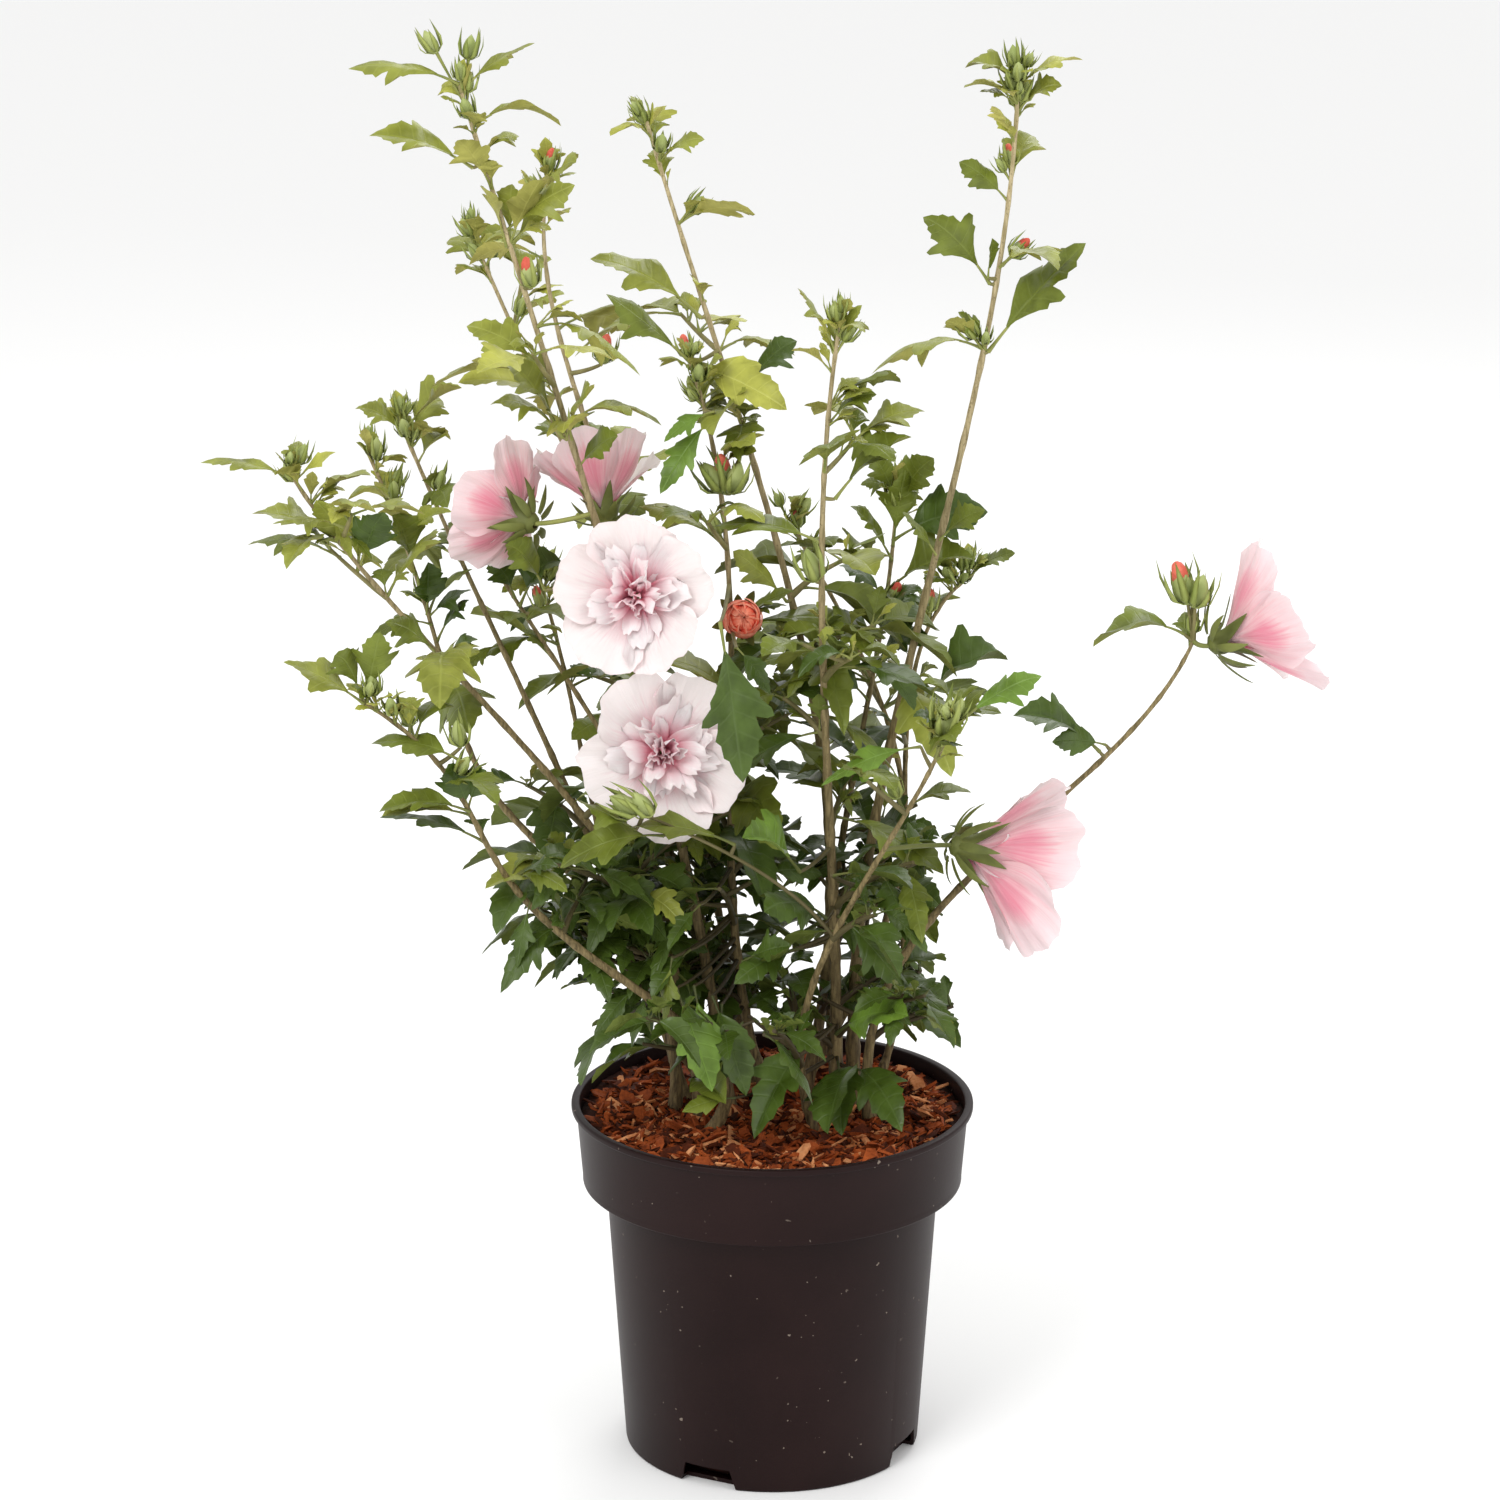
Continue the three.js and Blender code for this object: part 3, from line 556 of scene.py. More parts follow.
# a closed skin on both sides of a grid of points, thin at its margins
def sheetShell(grid, thickness):
    rows, columns = grid.shape[:2]
    down = np.gradient(grid, axis=0)
    across = np.gradient(grid, axis=1)
    normal = np.cross(down, across)
    normal /= np.linalg.norm(normal, axis=2, keepdims=True) + 1e-9
    index = np.arange(rows * columns).reshape(rows, columns)
    inner = np.zeros((rows, columns), bool)
    inner[1:-1, 1:-1] = True
    lift = np.where(inner, thickness / 2, 0)[..., None]
    under = index.copy()
    under[inner] = rows * columns + np.arange(inner.sum())
    points = np.concatenate([(grid + normal * lift).reshape(-1, 3), (grid - normal * lift)[inner]])
    u, v = np.meshgrid(np.linspace(0, 1, rows), np.linspace(0, 1, columns), indexing="ij")
    surface = np.stack([u, v], axis=2)
    surface = np.concatenate([surface.reshape(-1, 2), surface[inner]])
    top = quadsOf(index)
    bottom = quadsOf(under)[:, ::-1]
    return points, top, bottom, surface


def quadsOf(index):
    corners = (index[:-1, :-1], index[1:, :-1], index[1:, 1:], index[:-1, 1:])
    return np.stack([corner.ravel() for corner in corners], axis=1)


# a round body on a profile of (radius, height) whose first and last points are on the axis
def lathe(profile, sides, bulge=None):
    angle = np.linspace(0, 2 * math.pi, sides, endpoint=False)
    inner = profile[1:-1]
    rings = np.array([[(r * math.cos(a), r * math.sin(a), z) for a in angle] for r, z in inner])
    if bulge is not None:
        rings = bulge(rings)
    points = np.concatenate([rings.reshape(-1, 3), [(0, 0, profile[0][1]), (0, 0, profile[-1][1])]])
    index = np.arange(len(inner) * sides).reshape(len(inner), sides)
    index = np.concatenate([index, index[:, :1]], axis=1)
    quads = quadsOf(index)[:, ::-1]
    foot = len(points) - 2
    head = foot + 1
    first = np.stack([np.full(sides, foot), index[0, 1:], index[0, :-1]], axis=1)
    last = np.stack([np.full(sides, head), index[-1, :-1], index[-1, 1:]], axis=1)
    along = np.linspace(0, 1, len(inner))
    surface = [(k / sides, s) for s in along for k in range(sides)] + [(0, 0), (0, 1)]
    return points, [quads, first, last], surface


# a profile of (radius, height, rounding), each corner rounded by its own amount
def rounded(corners, steps=4):
    places = [np.array(corner[:2], float) for corner in corners]
    line = [places[0]]
    for i in range(1, len(corners) - 1):
        soft = corners[i][2] if len(corners[i]) > 2 else 0
        if not soft:
            line.append(places[i])
            continue
        start = places[i] + unit(places[i - 1] - places[i]) * soft
        end = places[i] + unit(places[i + 1] - places[i]) * soft
        for share in np.linspace(0, 1, steps):
            line.append(mix(mix(start, places[i], share), mix(places[i], end, share), share))
    return line + [places[-1]]


# runs a node tree on a mesh, with its named inputs, and gives back a plain mesh
def grown(name, source, tree, inputs):
    host = bpy.data.objects.new(name, source)
    modifier = host.modifiers.new("grow", "NODES")
    modifier.node_group = tree
    for item in tree.interface.items_tree:
        if item.item_type == "SOCKET" and item.in_out == "INPUT" and item.name in inputs:
            modifier[item.identifier] = inputs[item.name]
    bpy.context.scene.collection.objects.link(host)
    graph = bpy.context.evaluated_depsgraph_get()
    mesh = bpy.data.meshes.new_from_object(host.evaluated_get(graph))
    mesh.name = name
    host.modifiers.remove(modifier)
    bpy.data.objects.remove(host)
    return mesh


class NodeTree(Sheet):
    def __init__(self, name, inputs):
        tree = bpy.data.node_groups.new(name, "GeometryNodeTree")
        super().__init__(tree)
        tree.interface.new_socket("Geometry", in_out="INPUT", socket_type="NodeSocketGeometry")
        for key, (kind, value) in inputs.items():
            socket = tree.interface.new_socket(key, in_out="INPUT", socket_type="NodeSocket" + kind)
            if value is not None:
                socket.default_value = value
        tree.interface.new_socket("Geometry", in_out="OUTPUT", socket_type="NodeSocketGeometry")
        self.entry = tree.nodes.new("NodeGroupInput")

    def given(self, name):
        return Wire(self, self.entry.outputs[name])

    def named(self, attribute, kind="FLOAT"):
        return self.add("GeometryNodeInputNamedAttribute", {"data_type": kind}, {"Name": attribute})

    # the end of every tree: instances made real, the finish set
    def close(self, geometry, finish):
        real = self.add("GeometryNodeRealizeInstances", {}, {"Geometry": geometry})
        done = self.add("GeometryNodeSetMaterial", {}, {"Geometry": real, "Material": finish})
        self.add("NodeGroupOutput", {}, {"Geometry": done}, None)


skinStretch = (1, 1, 0.25)  # a tube's relief is four times as long upwards


# tubes along every line of a mesh, as thick as its girth, with a rough skin
def tubeTree():
    sheet = NodeTree(
        "tubes",
        {
            "Sides": ("Int", 8),
            "Relief": ("Float", 0.1),
            "Relief Scale": ("Float", 200.0),
            "Finish": ("Material", None),
        },
    )
    lines = sheet.add("GeometryNodeMeshToCurve", {}, {"Mesh": sheet.given("Geometry")})
    sockets = {"Resolution": sheet.given("Sides"), "Radius": 1.0}
    circle = sheet.add("GeometryNodeCurvePrimitiveCircle", {}, sockets)
    girth = sheet.named("girth")
    sockets = {"Curve": lines, "Profile Curve": circle, "Scale": girth, "Fill Caps": True}
    tube = sheet.add("GeometryNodeCurveToMesh", {}, sockets)
    place = sheet.add("GeometryNodeInputPosition")
    stretched = sheet.add("ShaderNodeVectorMath", {"operation": "MULTIPLY"}, {0: place, 1: skinStretch})
    rough = sheet.noise(stretched, sheet.given("Relief Scale"), 2.0)
    push = (rough - 0.5) * sheet.given("Relief") * girth
    normal = sheet.add("GeometryNodeInputNormal")
    offset = sheet.add("ShaderNodeVectorMath", {"operation": "SCALE"}, {0: normal, "Scale": push})
    moved = sheet.add("GeometryNodeSetPosition", {}, {"Geometry": tube, "Offset": offset})
    smooth = sheet.add("GeometryNodeSetShadeSmooth", {}, {"Geometry": moved})
    sheet.close(smooth, sheet.given("Finish"))
    return sheet.tree


# copies of one small mesh at every point, turned to its aim
def copyTree():
    sheet = NodeTree("copies", {"Copy": ("Object", None), "Finish": ("Material", None)})
    info = sheet.add("GeometryNodeObjectInfo", {}, {"Object": sheet.given("Copy")}, "Geometry")
    aim = sheet.named("aim", "FLOAT_VECTOR")
    spin = sheet.add("ShaderNodeCombineXYZ", {}, {"Z": sheet.named("spin")})
    facing = sheet.add("FunctionNodeAlignRotationToVector", {"axis": "Z"}, {"Vector": aim})
    spun = sheet.add("FunctionNodeRotateRotation", {"rotation_space": "LOCAL"}, {0: facing, 1: spin})
    sockets = {"Points": sheet.given("Geometry"), "Instance": info, "Rotation": spun}
    sockets["Scale"] = sheet.named("size")
    copies = sheet.add("GeometryNodeInstanceOnPoints", {}, sockets)
    smooth = sheet.add("GeometryNodeSetShadeSmooth", {}, {"Geometry": copies})
    sheet.close(smooth, sheet.given("Finish"))
    return sheet.tree


chipTurns = {"Min": (-0.75, -0.6, 0.0), "Max": (0.75, 0.6, fullTurn)}  # radians about each axis


# loose chips strewn over a surface
def chipTree():
    sheet = NodeTree(
        "chips",
        {
            "Chips": ("Collection", None),
            "Density": ("Float", 1000.0),
            "Seed": ("Int", 0),
            "Smallest": ("Float", 0.5),
            "Largest": ("Float", 1.2),
            "Finish": ("Material", None),
        },
    )
    seed = sheet.given("Seed")
    sockets = {"Mesh": sheet.given("Geometry"), "Density": sheet.given("Density"), "Seed": seed}
    points = sheet.add("GeometryNodeDistributePointsOnFaces", {}, sockets)
    chips = sheet.add(
        "GeometryNodeCollectionInfo",
        {},
        {"Collection": sheet.given("Chips"), "Separate Children": True, "Reset Children": True},
    )
    limits = {**chipTurns, "Seed": seed}
    turn = sheet.add("FunctionNodeRandomValue", {"data_type": "FLOAT_VECTOR"}, limits)
    limits = {2: sheet.given("Smallest"), 3: sheet.given("Largest"), "Seed": seed}
    size = sheet.add("FunctionNodeRandomValue", {}, limits, 1)
    sockets = {"Points": points, "Instance": chips, "Pick Instance": True, "Rotation": turn, "Scale": size}
    strewn = sheet.add("GeometryNodeInstanceOnPoints", {}, sockets)
    sheet.close(strewn, sheet.given("Finish"))
    return sheet.tree


# pot: a thin moulded wall with a deep collar, a rolled rim and drain notches at its foot
potPlan = {
    "height": 252,
    "rimRadius": 140,
    "rimRoll": 4,
    "collarTop": 136.5,
    "collarFoot": 132,
    "lipHeight": 194.5,
    "neckRadius": 116.4,
    "footRadius": 103.4,
    "wall": 2.2,
    "floor": 3,
    "notches": 4,
    "firstNotch": -116,
    "notchWidth": (46, 34),  # at the ground and at its top
    "notchHeight": 15,
    "notchDepth": 10.9,
    "notchPast": (25, 6),  # how far a notch's cutter stands out past the foot and below it
    "sides": 192,
    "crease": 38,  # degrees
}


def buildPot(material):
    p = potPlan
    wall = p["wall"]
    corners = [
        (0, 0),
        (p["footRadius"], 0, 2.2),
        (p["neckRadius"] - 0.4, p["lipHeight"] - 3),
        (p["neckRadius"], p["lipHeight"] + 0.6, 0.5),
        (p["collarFoot"] + 0.4, p["lipHeight"], 1.1),
        (p["collarFoot"] + 0.5, p["lipHeight"] + 5, 0.8),
        (p["collarTop"], p["height"] - p["rimRoll"] - 1.2, 0.8),
        (p["rimRadius"], p["height"] - p["rimRoll"] - 0.2, 0.8),
        (p["rimRadius"], p["height"], 1.7),
        (p["collarTop"] - wall, p["height"] - 0.4, 1.0),
        (p["collarFoot"] - wall, p["lipHeight"] + wall, 1.0),
        (p["neckRadius"] - wall, p["lipHeight"] + wall, 1.0),
        (p["footRadius"] - wall, p["floor"], 1.5),
        (0, p["floor"]),
    ]
    pile = Pile()
    pile.put(*lathe(rounded(corners), p["sides"]))
    pot = bpy.data.objects.new("potSource", pile.mesh("potShell", [material]))
    bpy.context.scene.collection.objects.link(pot)
    cutter = Pile()
    for i in range(p["notches"]):
        bearing = p["firstNotch"] + i * 360 / p["notches"]
        out = heading(bearing, 0)
        side = heading(bearing + 90, 0)
        past, below = p["notchPast"]
        base, top = p["notchWidth"]
        section = ((-base, -below), (base, -below), (top, p["notchHeight"]), (-top, p["notchHeight"]))
        block = []
        for reach in (p["footRadius"] - p["notchDepth"], p["footRadius"] + past):
            for width, height in section:
                block.append(out * reach + side * width * 0.5 + np.array((0, 0, height)))
        faces = [(0, 3, 2, 1), (4, 5, 6, 7), (0, 1, 5, 4), (1, 2, 6, 5), (2, 3, 7, 6), (3, 0, 4, 7)]
        cutter.put(block, [faces], [(0, 0)] * 8)
    tool = bpy.data.objects.new("notches", cutter.mesh("notches", []))
    bpy.context.scene.collection.objects.link(tool)
    cut = pot.modifiers.new("notches", "BOOLEAN")
    cut.operation = "DIFFERENCE"
    cut.solver = "EXACT"
    cut.object = tool
    graph = bpy.context.evaluated_depsgraph_get()
    mesh = bpy.data.meshes.new_from_object(pot.evaluated_get(graph))
    bpy.data.objects.remove(pot)
    bpy.data.objects.remove(tool)
    mesh.shade_smooth()
    mesh.set_sharp_from_angle(angle=math.radians(p["crease"]))
    finished("nursery_pot", mesh, "pot", ["pot"])


soilPlan = {
    "top": 243.2,
    "gap": 0.6,  # to the pot's wall
    "floorGap": 0.4,
    "heap": 2.4,
    # the waves of its surface: radians for each mm across and away, and where they start
    "waves": (
        (0.071, 0.043, 0.4),
        (-0.052, 0.083, 1.9),
        (0.127, -0.094, 3.1),
        (0.031, 0.151, 4.4),
        (0.19, 0.17, 0.9),
    ),
    "waveFade": 0.35,  # each wave is lower than the one before it
    "waveSum": 2.6,
    "sunk": 0.4,  # the share of the heap by which its middle height is lowered
    "sides": 120,
    "rings": 16,
    # one chip seen from above, as shares of its length and width, and its two faces' heights
    "chip": ((-0.5, -0.2), (0.3, -0.26), (0.55, -0.05), (0.42, 0.2), (-0.35, 0.24), (-0.56, 0.08)),
    "chipFaces": (-0.6, 0.7),
    "chipLength": 15,
    "chipSeed": 51,
    "chipJitter": (0.16, 0.1),  # how far chance moves its corners, as shares too
    "chipBend": (1.2, 3),  # millimetres, and radians along its length
    "chipThick": (0.7, 0.8),  # at least, and by chance
    # two sorts of chips: how many, width and its spread, length and its spread
    "sorts": ((4, 0.5, 0.5, 0.6, 0.7), (4, 0.16, 0.14, 1.0, 0.7)),
    "kinds": {
        "rust": {"density": 30000, "seed": 3, "sizes": (0.4, 1.25)},
        "dark": {"density": 26000, "seed": 8, "sizes": (0.4, 1.15)},
        "pale": {"density": 6500, "seed": 15, "sizes": (0.4, 1.5)},
    },
}


def bumpy(x, y):
    waves = [math.sin(a * x + b * y + c) for a, b, c in soilPlan["waves"]]
    fade = soilPlan["waveFade"]
    return sum(wave / (1 + fade * i) for i, wave in enumerate(waves)) / soilPlan["waveSum"]


# the small meshes that the chips are copies of
def chipShapes():
    s = soilPlan
    chips = bpy.data.collections.new("chips")
    draw = seededRandom(s["chipSeed"])
    jitterX, jitterY = s["chipJitter"]
    bent, bends = s["chipBend"]
    thick, moreThick = s["chipThick"]
    ends = [[(5, 4, 3, 2, 1, 0)], [(6, 7, 8, 9, 10, 11)]]
    around = [[(i, (i + 1) % 6, 6 + (i + 1) % 6, 6 + i) for i in range(6)]]
    number = 0
    for count, width, moreWidth, length, moreLength in s["sorts"]:
        for _ in range(count):
            slim = width + moreWidth * draw()
            long = s["chipLength"] * (length + moreLength * draw())
            block = []
            for height in s["chipFaces"]:
                for x, y in s["chip"]:
                    x += jitterX * (draw() - 0.5)
                    y = slim * (y + jitterY * (draw() - 0.5))
                    bend = bent * math.cos(bends * x + number)
                    block.append((x * long, y * long, height * (thick + moreThick * draw()) + bend))
            pile = Pile()
            pile.put(block, ends + around, s["chip"] * 2)
            mesh = pile.mesh("chip", [])
            mesh.shade_flat()
            chips.objects.link(bpy.data.objects.new("chip", mesh))
            number += 1
    return chips


def buildSoil(bedFinish, chipFinishes, chipTree):
    p = potPlan
    s = soilPlan
    inner = p["wall"] + s["gap"]
    share = (s["top"] - p["lipHeight"]) / (p["height"] - p["lipHeight"])
    edge = mix(p["collarFoot"], p["collarTop"], share) - inner
    profile = [
        (0, p["floor"] + s["floorGap"]),
        (p["footRadius"] - inner - p["notchHeight"], p["floor"] + s["floorGap"]),
        (p["footRadius"] - inner, p["floor"] + s["floorGap"] + p["notchHeight"]),
        (p["neckRadius"] - inner, p["lipHeight"] + p["wall"]),
        (p["neckRadius"] - inner, p["lipHeight"] + inner),
        (p["collarFoot"] - inner, p["lipHeight"] + inner),
    ]
    topFrom = len(profile) - 1
    profile += [(edge * (1 - i / s["rings"]), s["top"]) for i in range(s["rings"])] + [(0, s["top"])]

    def heaped(rings):
        for ring in rings[topFrom:]:
            for point in ring:
                point[2] += s["heap"] * bumpy(point[0], point[1]) - s["heap"] * s["sunk"]
        return rings

    pile = Pile()
    points, faces, surface = lathe(profile, s["sides"], heaped)
    pile.put(points, faces, surface)
    finished("soil_bed", pile.mesh("soil_bed", [bedFinish]), "soil", ["soil"])
    lid = Pile()
    lid.put(points, [faces[0][s["sides"] * (topFrom + 1) :], faces[2]], surface)
    chips = chipShapes()
    for name, kind in s["kinds"].items():
        inputs = {
            "Chips": chips,
            "Density": float(kind["density"]),
            "Seed": kind["seed"],
            "Smallest": kind["sizes"][0],
            "Largest": kind["sizes"][1],
            "Finish": chipFinishes[name],
        }
        mesh = grown("bark_chips_" + name, lid.mesh("lid", []), chipTree, inputs)
        finished("bark_chips_" + name, mesh, "soil", ["soil"])
    for chip in list(chips.objects):
        bpy.data.objects.remove(chip)
# half a leaf's margin, from its stalk to its tip: (along, out) as shares of the blade's length
leafOutlines = {
    "lobed": (
        (0.0, 0.012), (0.09, 0.05), (0.2, 0.115), (0.3, 0.185), (0.36, 0.25), (0.41, 0.245),
        (0.49, 0.335), (0.55, 0.345), (0.56, 0.27), (0.535, 0.175), (0.6, 0.185), (0.67, 0.215),
        (0.71, 0.165), (0.8, 0.155), (0.83, 0.105), (0.92, 0.07), (1.0, 0),
    ),
    "broad": (
        (0.0, 0.014), (0.07, 0.07), (0.17, 0.165), (0.27, 0.245), (0.33, 0.315), (0.38, 0.305),
        (0.47, 0.385), (0.53, 0.375), (0.55, 0.29), (0.55, 0.225), (0.62, 0.235), (0.69, 0.255),
        (0.725, 0.2), (0.81, 0.185), (0.845, 0.125), (0.93, 0.08), (1.0, 0),
    ),
    "young": (
        (0.0, 0.03), (0.2, 0.11), (0.4, 0.21), (0.53, 0.26), (0.58, 0.17), (0.72, 0.175),
        (0.86, 0.095), (1.0, 0.0),
    ),
}
leafForm = {
    "stalk": 0.2,
    "veinSlant": 0.55,
    "middleAt": 0.52,  # of the way from the midrib to the margin
    "rib": 0.35,
    "bulge": 0.012,  # of the length, how far the blade swells between the veins
    "lift": (12, 20),  # degrees added to a leaf's rise, above and low down, which its droop takes back
    "fold": ((0.12, 0.62), (0.3, 0.85)),
    "sway": (10, 70),  # degrees that a leaf may be rolled by chance, above and low down
    "droop": ((0.28, 0.68), (0.3, 0.8)),
    "crease": 75,  # degrees
    "youngLength": 34,  # a leaf that is no longer than this is a young one, and stiffer
    "youngDroop": 0.6,
    "placedFold": 1.4,
    "curl": (0.5, 1.9),
    "twist": 1.3,
    "ripple": 0.07,
    "rippleTurns": 9,
    "rippleShift": 1.4,  # between the two halves
    "rippleRise": 2.4,
    "tipCurl": 0.12,
    "narrowing": 0.25,  # how much narrower a curled blade looks
    "lean": 0.12,
    "stalkGirth": 0.95,
}


# the points of a flat blade as (along, out, layer) and its faces. Layer 1 is the midrib's face, -1 its
# back, 2 the swelling between the veins and 0 the margin. under tells the faces of the back, by 1.
def leafTemplate(outline):
    rows = []
    rib = -0.012
    for u, v in outline[:-1]:
        rib = max(rib + 0.014, u - leafForm["veinSlant"] * v)
        middle = leafForm["middleAt"]
        midU = mix(rib, u, middle)
        midV = v * middle
        rows += [(rib, 0, 1), (midU, midV, 2), (u, v, 0), (midU, -midV, 2), (u, -v, 0), (rib, 0, -1)]
    rows.append((1, 0, 0))
    last = len(rows) - 1
    quads = [(0, 1, 2, 5), (0, 5, 4, 3)]
    for a in range(0, last - 6, 6):
        b = a + 6
        quads += [(a, b, b + 1, a + 1), (a + 1, b + 1, b + 2, a + 2), (a, a + 3, b + 3, b)]
        quads += [(a + 3, a + 4, b + 4, b + 3), (a + 5, a + 2, b + 2, b + 5), (a + 5, b + 5, b + 4, a + 4)]
    a = last - 6
    tips = [(a, last, a + 1), (a + 1, last, a + 2), (a, a + 3, last), (a + 3, a + 4, last)]
    tips += [(a + 5, a + 2, last), (a + 5, last, a + 4)]
    under = [[0, 0] + [0, 0, 0, 0, 1, 1] * (len(quads) // 6), [0, 0, 0, 0, 1, 1]]
    return np.array(rows, float), (quads, tips), under


# settles the way a leaf lies, and what is its own in its shape
def rootedLeaf(leaf, draw):
    form = leafForm
    low = leaf.get("low", False)
    droop = mix(*form["droop"][low], draw())
    placed = "tip" in leaf
    if placed:
        droop = leaf["droop"]
        aimLeaf(leaf)
    else:
        if leaf["length"] <= form["youngLength"]:
            droop *= form["youngDroop"]
        leaf["along"] = heading(leaf["bearing"], leaf["rise"] + form["lift"][low])
    level = heading(leaf["bearing"] + 90, 0)
    level = unit(level - leaf["along"] * np.dot(level, leaf["along"]))
    roll = leaf["roll"] + form["sway"][low] * (draw() - 0.5)
    leaf["side"] = turned(level, leaf["along"], math.radians(roll))
    leaf["droop"] = droop
    leaf["fold"] = mix(*form["fold"][low], draw()) * (form["placedFold"] if placed else 1)
    leaf["curl"] = mix(*form["curl"], draw())
    leaf["twist"] = form["twist"] * (draw() - 0.5)
    leaf["phase"] = fullTurn * draw()
    leaf["lean"] = form["lean"] * (draw() - 0.5)


# finds the length and the start of a leaf whose two ends are known
def aimLeaf(leaf):
    droop = leaf["droop"]
    level = 1 - droop * droop
    span = leaf["tip"] - leaf["root"]
    sag = span[2] * droop
    leaf["length"] = (sag + math.sqrt(sag * sag + level * np.dot(span, span))) / level
    leaf["along"] = unit(span + np.array((0, 0, droop * leaf["length"])))


# points on a leaf's middle line, at places from 0 at its root to 1 at its tip
def alongLeaf(leaf, place):
    place = np.asarray(place, float)[..., None]
    sink = leaf["droop"] * leaf["length"] * place * place
    return leaf["root"] + leaf["along"] * (leaf["length"] * place) - np.array((0, 0, 1)) * sink


def leafPoints(leaf, template):
    form = leafForm
    u, v, layer = template.T
    stalk = form["stalk"]
    blade = leaf["length"] * (1 - stalk)
    place = stalk + (1 - stalk) * u
    centre = alongLeaf(leaf, place)
    tangent = leaf["along"] - 2 * leaf["droop"] * place[:, None] * np.array((0, 0, 1))
    tangent /= np.linalg.norm(tangent, axis=1, keepdims=True)
    twist = (leaf["twist"] * u)[:, None]
    level = leaf["side"]
    normal = np.cross(tangent, level)
    normal /= np.linalg.norm(normal, axis=1, keepdims=True)
    side = level * np.cos(twist) + normal * np.sin(twist)
    normal = np.cross(tangent, side)
    out = v * (1 + leaf["lean"] * np.sign(v))
    wave = np.sin(form["rippleTurns"] * u + leaf["phase"] + form["rippleShift"] * np.sign(v))
    ripple = form["ripple"] * wave * np.abs(out) * form["rippleRise"]
    height = leaf["fold"] * np.abs(out) - leaf["curl"] * out * out + ripple
    height -= form["tipCurl"] * leaf["curl"] * u * u * np.abs(out)
    swell = np.where(layer == 2, form["bulge"] * blade, 0)
    skin = np.where(layer == 1, form["rib"], np.where(layer == -1, -form["rib"], 0))
    narrow = 1 - form["narrowing"] * np.abs(leaf["curl"] * out)
    points = centre + side * (out * narrow * blade)[:, None]
    points += normal * (height * blade + swell + skin)[:, None]
    return points, np.stack([u, v + 0.5], axis=1)


# blooms: base is where the calyx starts, facing is the way the flower looks, depth is calyx to margin;
# half holds a petal's half angle where it is widest and at its margin, corner how round its end is
blooms = {
    "centre": {
        "on": "tall_left", "base": (-90, -29, 620), "facing": (-0.14, -0.95, 0.24), "radius": 54,
        "depth": 32, "turn": 20, "seed": 301, "half": (47, 42), "corner": 0.2,
    },
    "lower": {
        "on": "tall_left", "base": (-75, -36, 516), "facing": (0.08, -0.97, 0.14), "radius": 58,
        "depth": 36, "turn": 54, "seed": 302, "half": (46, 41), "corner": 0.24,
    },
    "left": {
        "on": "tall_left", "base": (-160, 0, 662), "facing": (-0.74, 0.6, 0.16), "radius": 49,
        "depth": 40, "turn": 28, "seed": 303, "half": (46, 40), "corner": 0.3,
    },
    "upper": {
        "on": "second_left", "base": (-113, 21, 656), "facing": (-0.1, 0.52, 0.84), "radius": 42,
        "depth": 58, "turn": 62, "seed": 304, "half": (46, 40), "corner": 0.3,
    },
    "right": {
        "on": "front_right", "base": (119, -66, 458), "facing": (0.9, 0.26, -0.3), "radius": 62,
        "depth": 71, "calyx": 1.3, "turn": 4, "seed": 305, "half": (48, 42), "corner": 0.27,
    },
    "far_right": {
        "on": "far_right", "base": (293, -25, 584), "facing": (0.9, 0.16, 0.36), "radius": 57,
        "depth": 60, "calyx": 1.2, "turn": 30, "seed": 306, "half": (46, 40), "corner": 0.28,
    },
}
flower = {
    "petals": 5,
    "rows": 19,
    "columns": 25,
    "throatRadius": 3.5,
    "thickness": 0.5,
    "ruffle": 2.8,
    "pinwheel": 2.4,
    "swing": 0.05,
    "cup": 3,
    "crenate": 0.019,
    "widest": 0.6,
    "calyxLobes": 5,
    "calyxLength": 33,
    "calyxHalf": 39,  # degrees
    "lobeFrom": 11,
    "bracts": 9,
    "bractLength": (21, 29),
    "bractWidth": 3.3,
    "stalkGirth": 1.7,
    "crease": 75,  # degrees
    # the inner petals: how many, length by the bloom's radius, degrees off the axis, half width by length,
    # and how far up the colours of a whole petal they go
    "rings": (
        (8, 0.6, 68, 0.25, 1.0),
        (9, 0.55, 53, 0.22, 0.95),
        # the inner rings reach less far up the colours and stay pink: partly their own deeper pink, partly
        # painted rosy light in the shaded heart
        (8, 0.5, 36, 0.2, 0.8),
        (6, 0.43, 19, 0.18, 0.6),
        (3, 0.36, 7, 0.16, 0.5),
    ),
    "greenThickness": 0.8,  # of calyx lobes and bracts
    "innerRows": 9,
    "innerColumns": 7,
    "openWall": 66,  # degrees off the axis, the wall of a flower that is open flat
}
rosette = {
    "on": "middle",
    "base": (-22, 17, 592),
    "facing": (0.1, -0.93, 0.3),
    "radius": 12.5,
    "seed": 307,
    # how many petals, their size, the polar angle of their ends, and how far the layer is turned
    "layers": ((5, 1.0, 54, 0), (5, 0.92, 46, 38), (5, 0.82, 14, 8), (3, 0.76, 2, 30)),
    "ridges": 10,  # petal edges that stand in the mouth
    "clearing": 26,
    "rows": 12,
    "columns": 11,
    "lobes": 5,
    "bracts": 8,
}


def bloomFrame(bloom):
    axis = unit(np.array(bloom["facing"], float))
    side = unit(np.cross((0, 0, 1), axis))
    return axis, side, np.cross(axis, side)


def throatOf(bloom):
    return min(bloom["depth"] * 0.3, 11)


def wallOf(bloom):
    return math.atan2(bloom["radius"] - flower["throatRadius"], bloom["depth"] - throatOf(bloom))


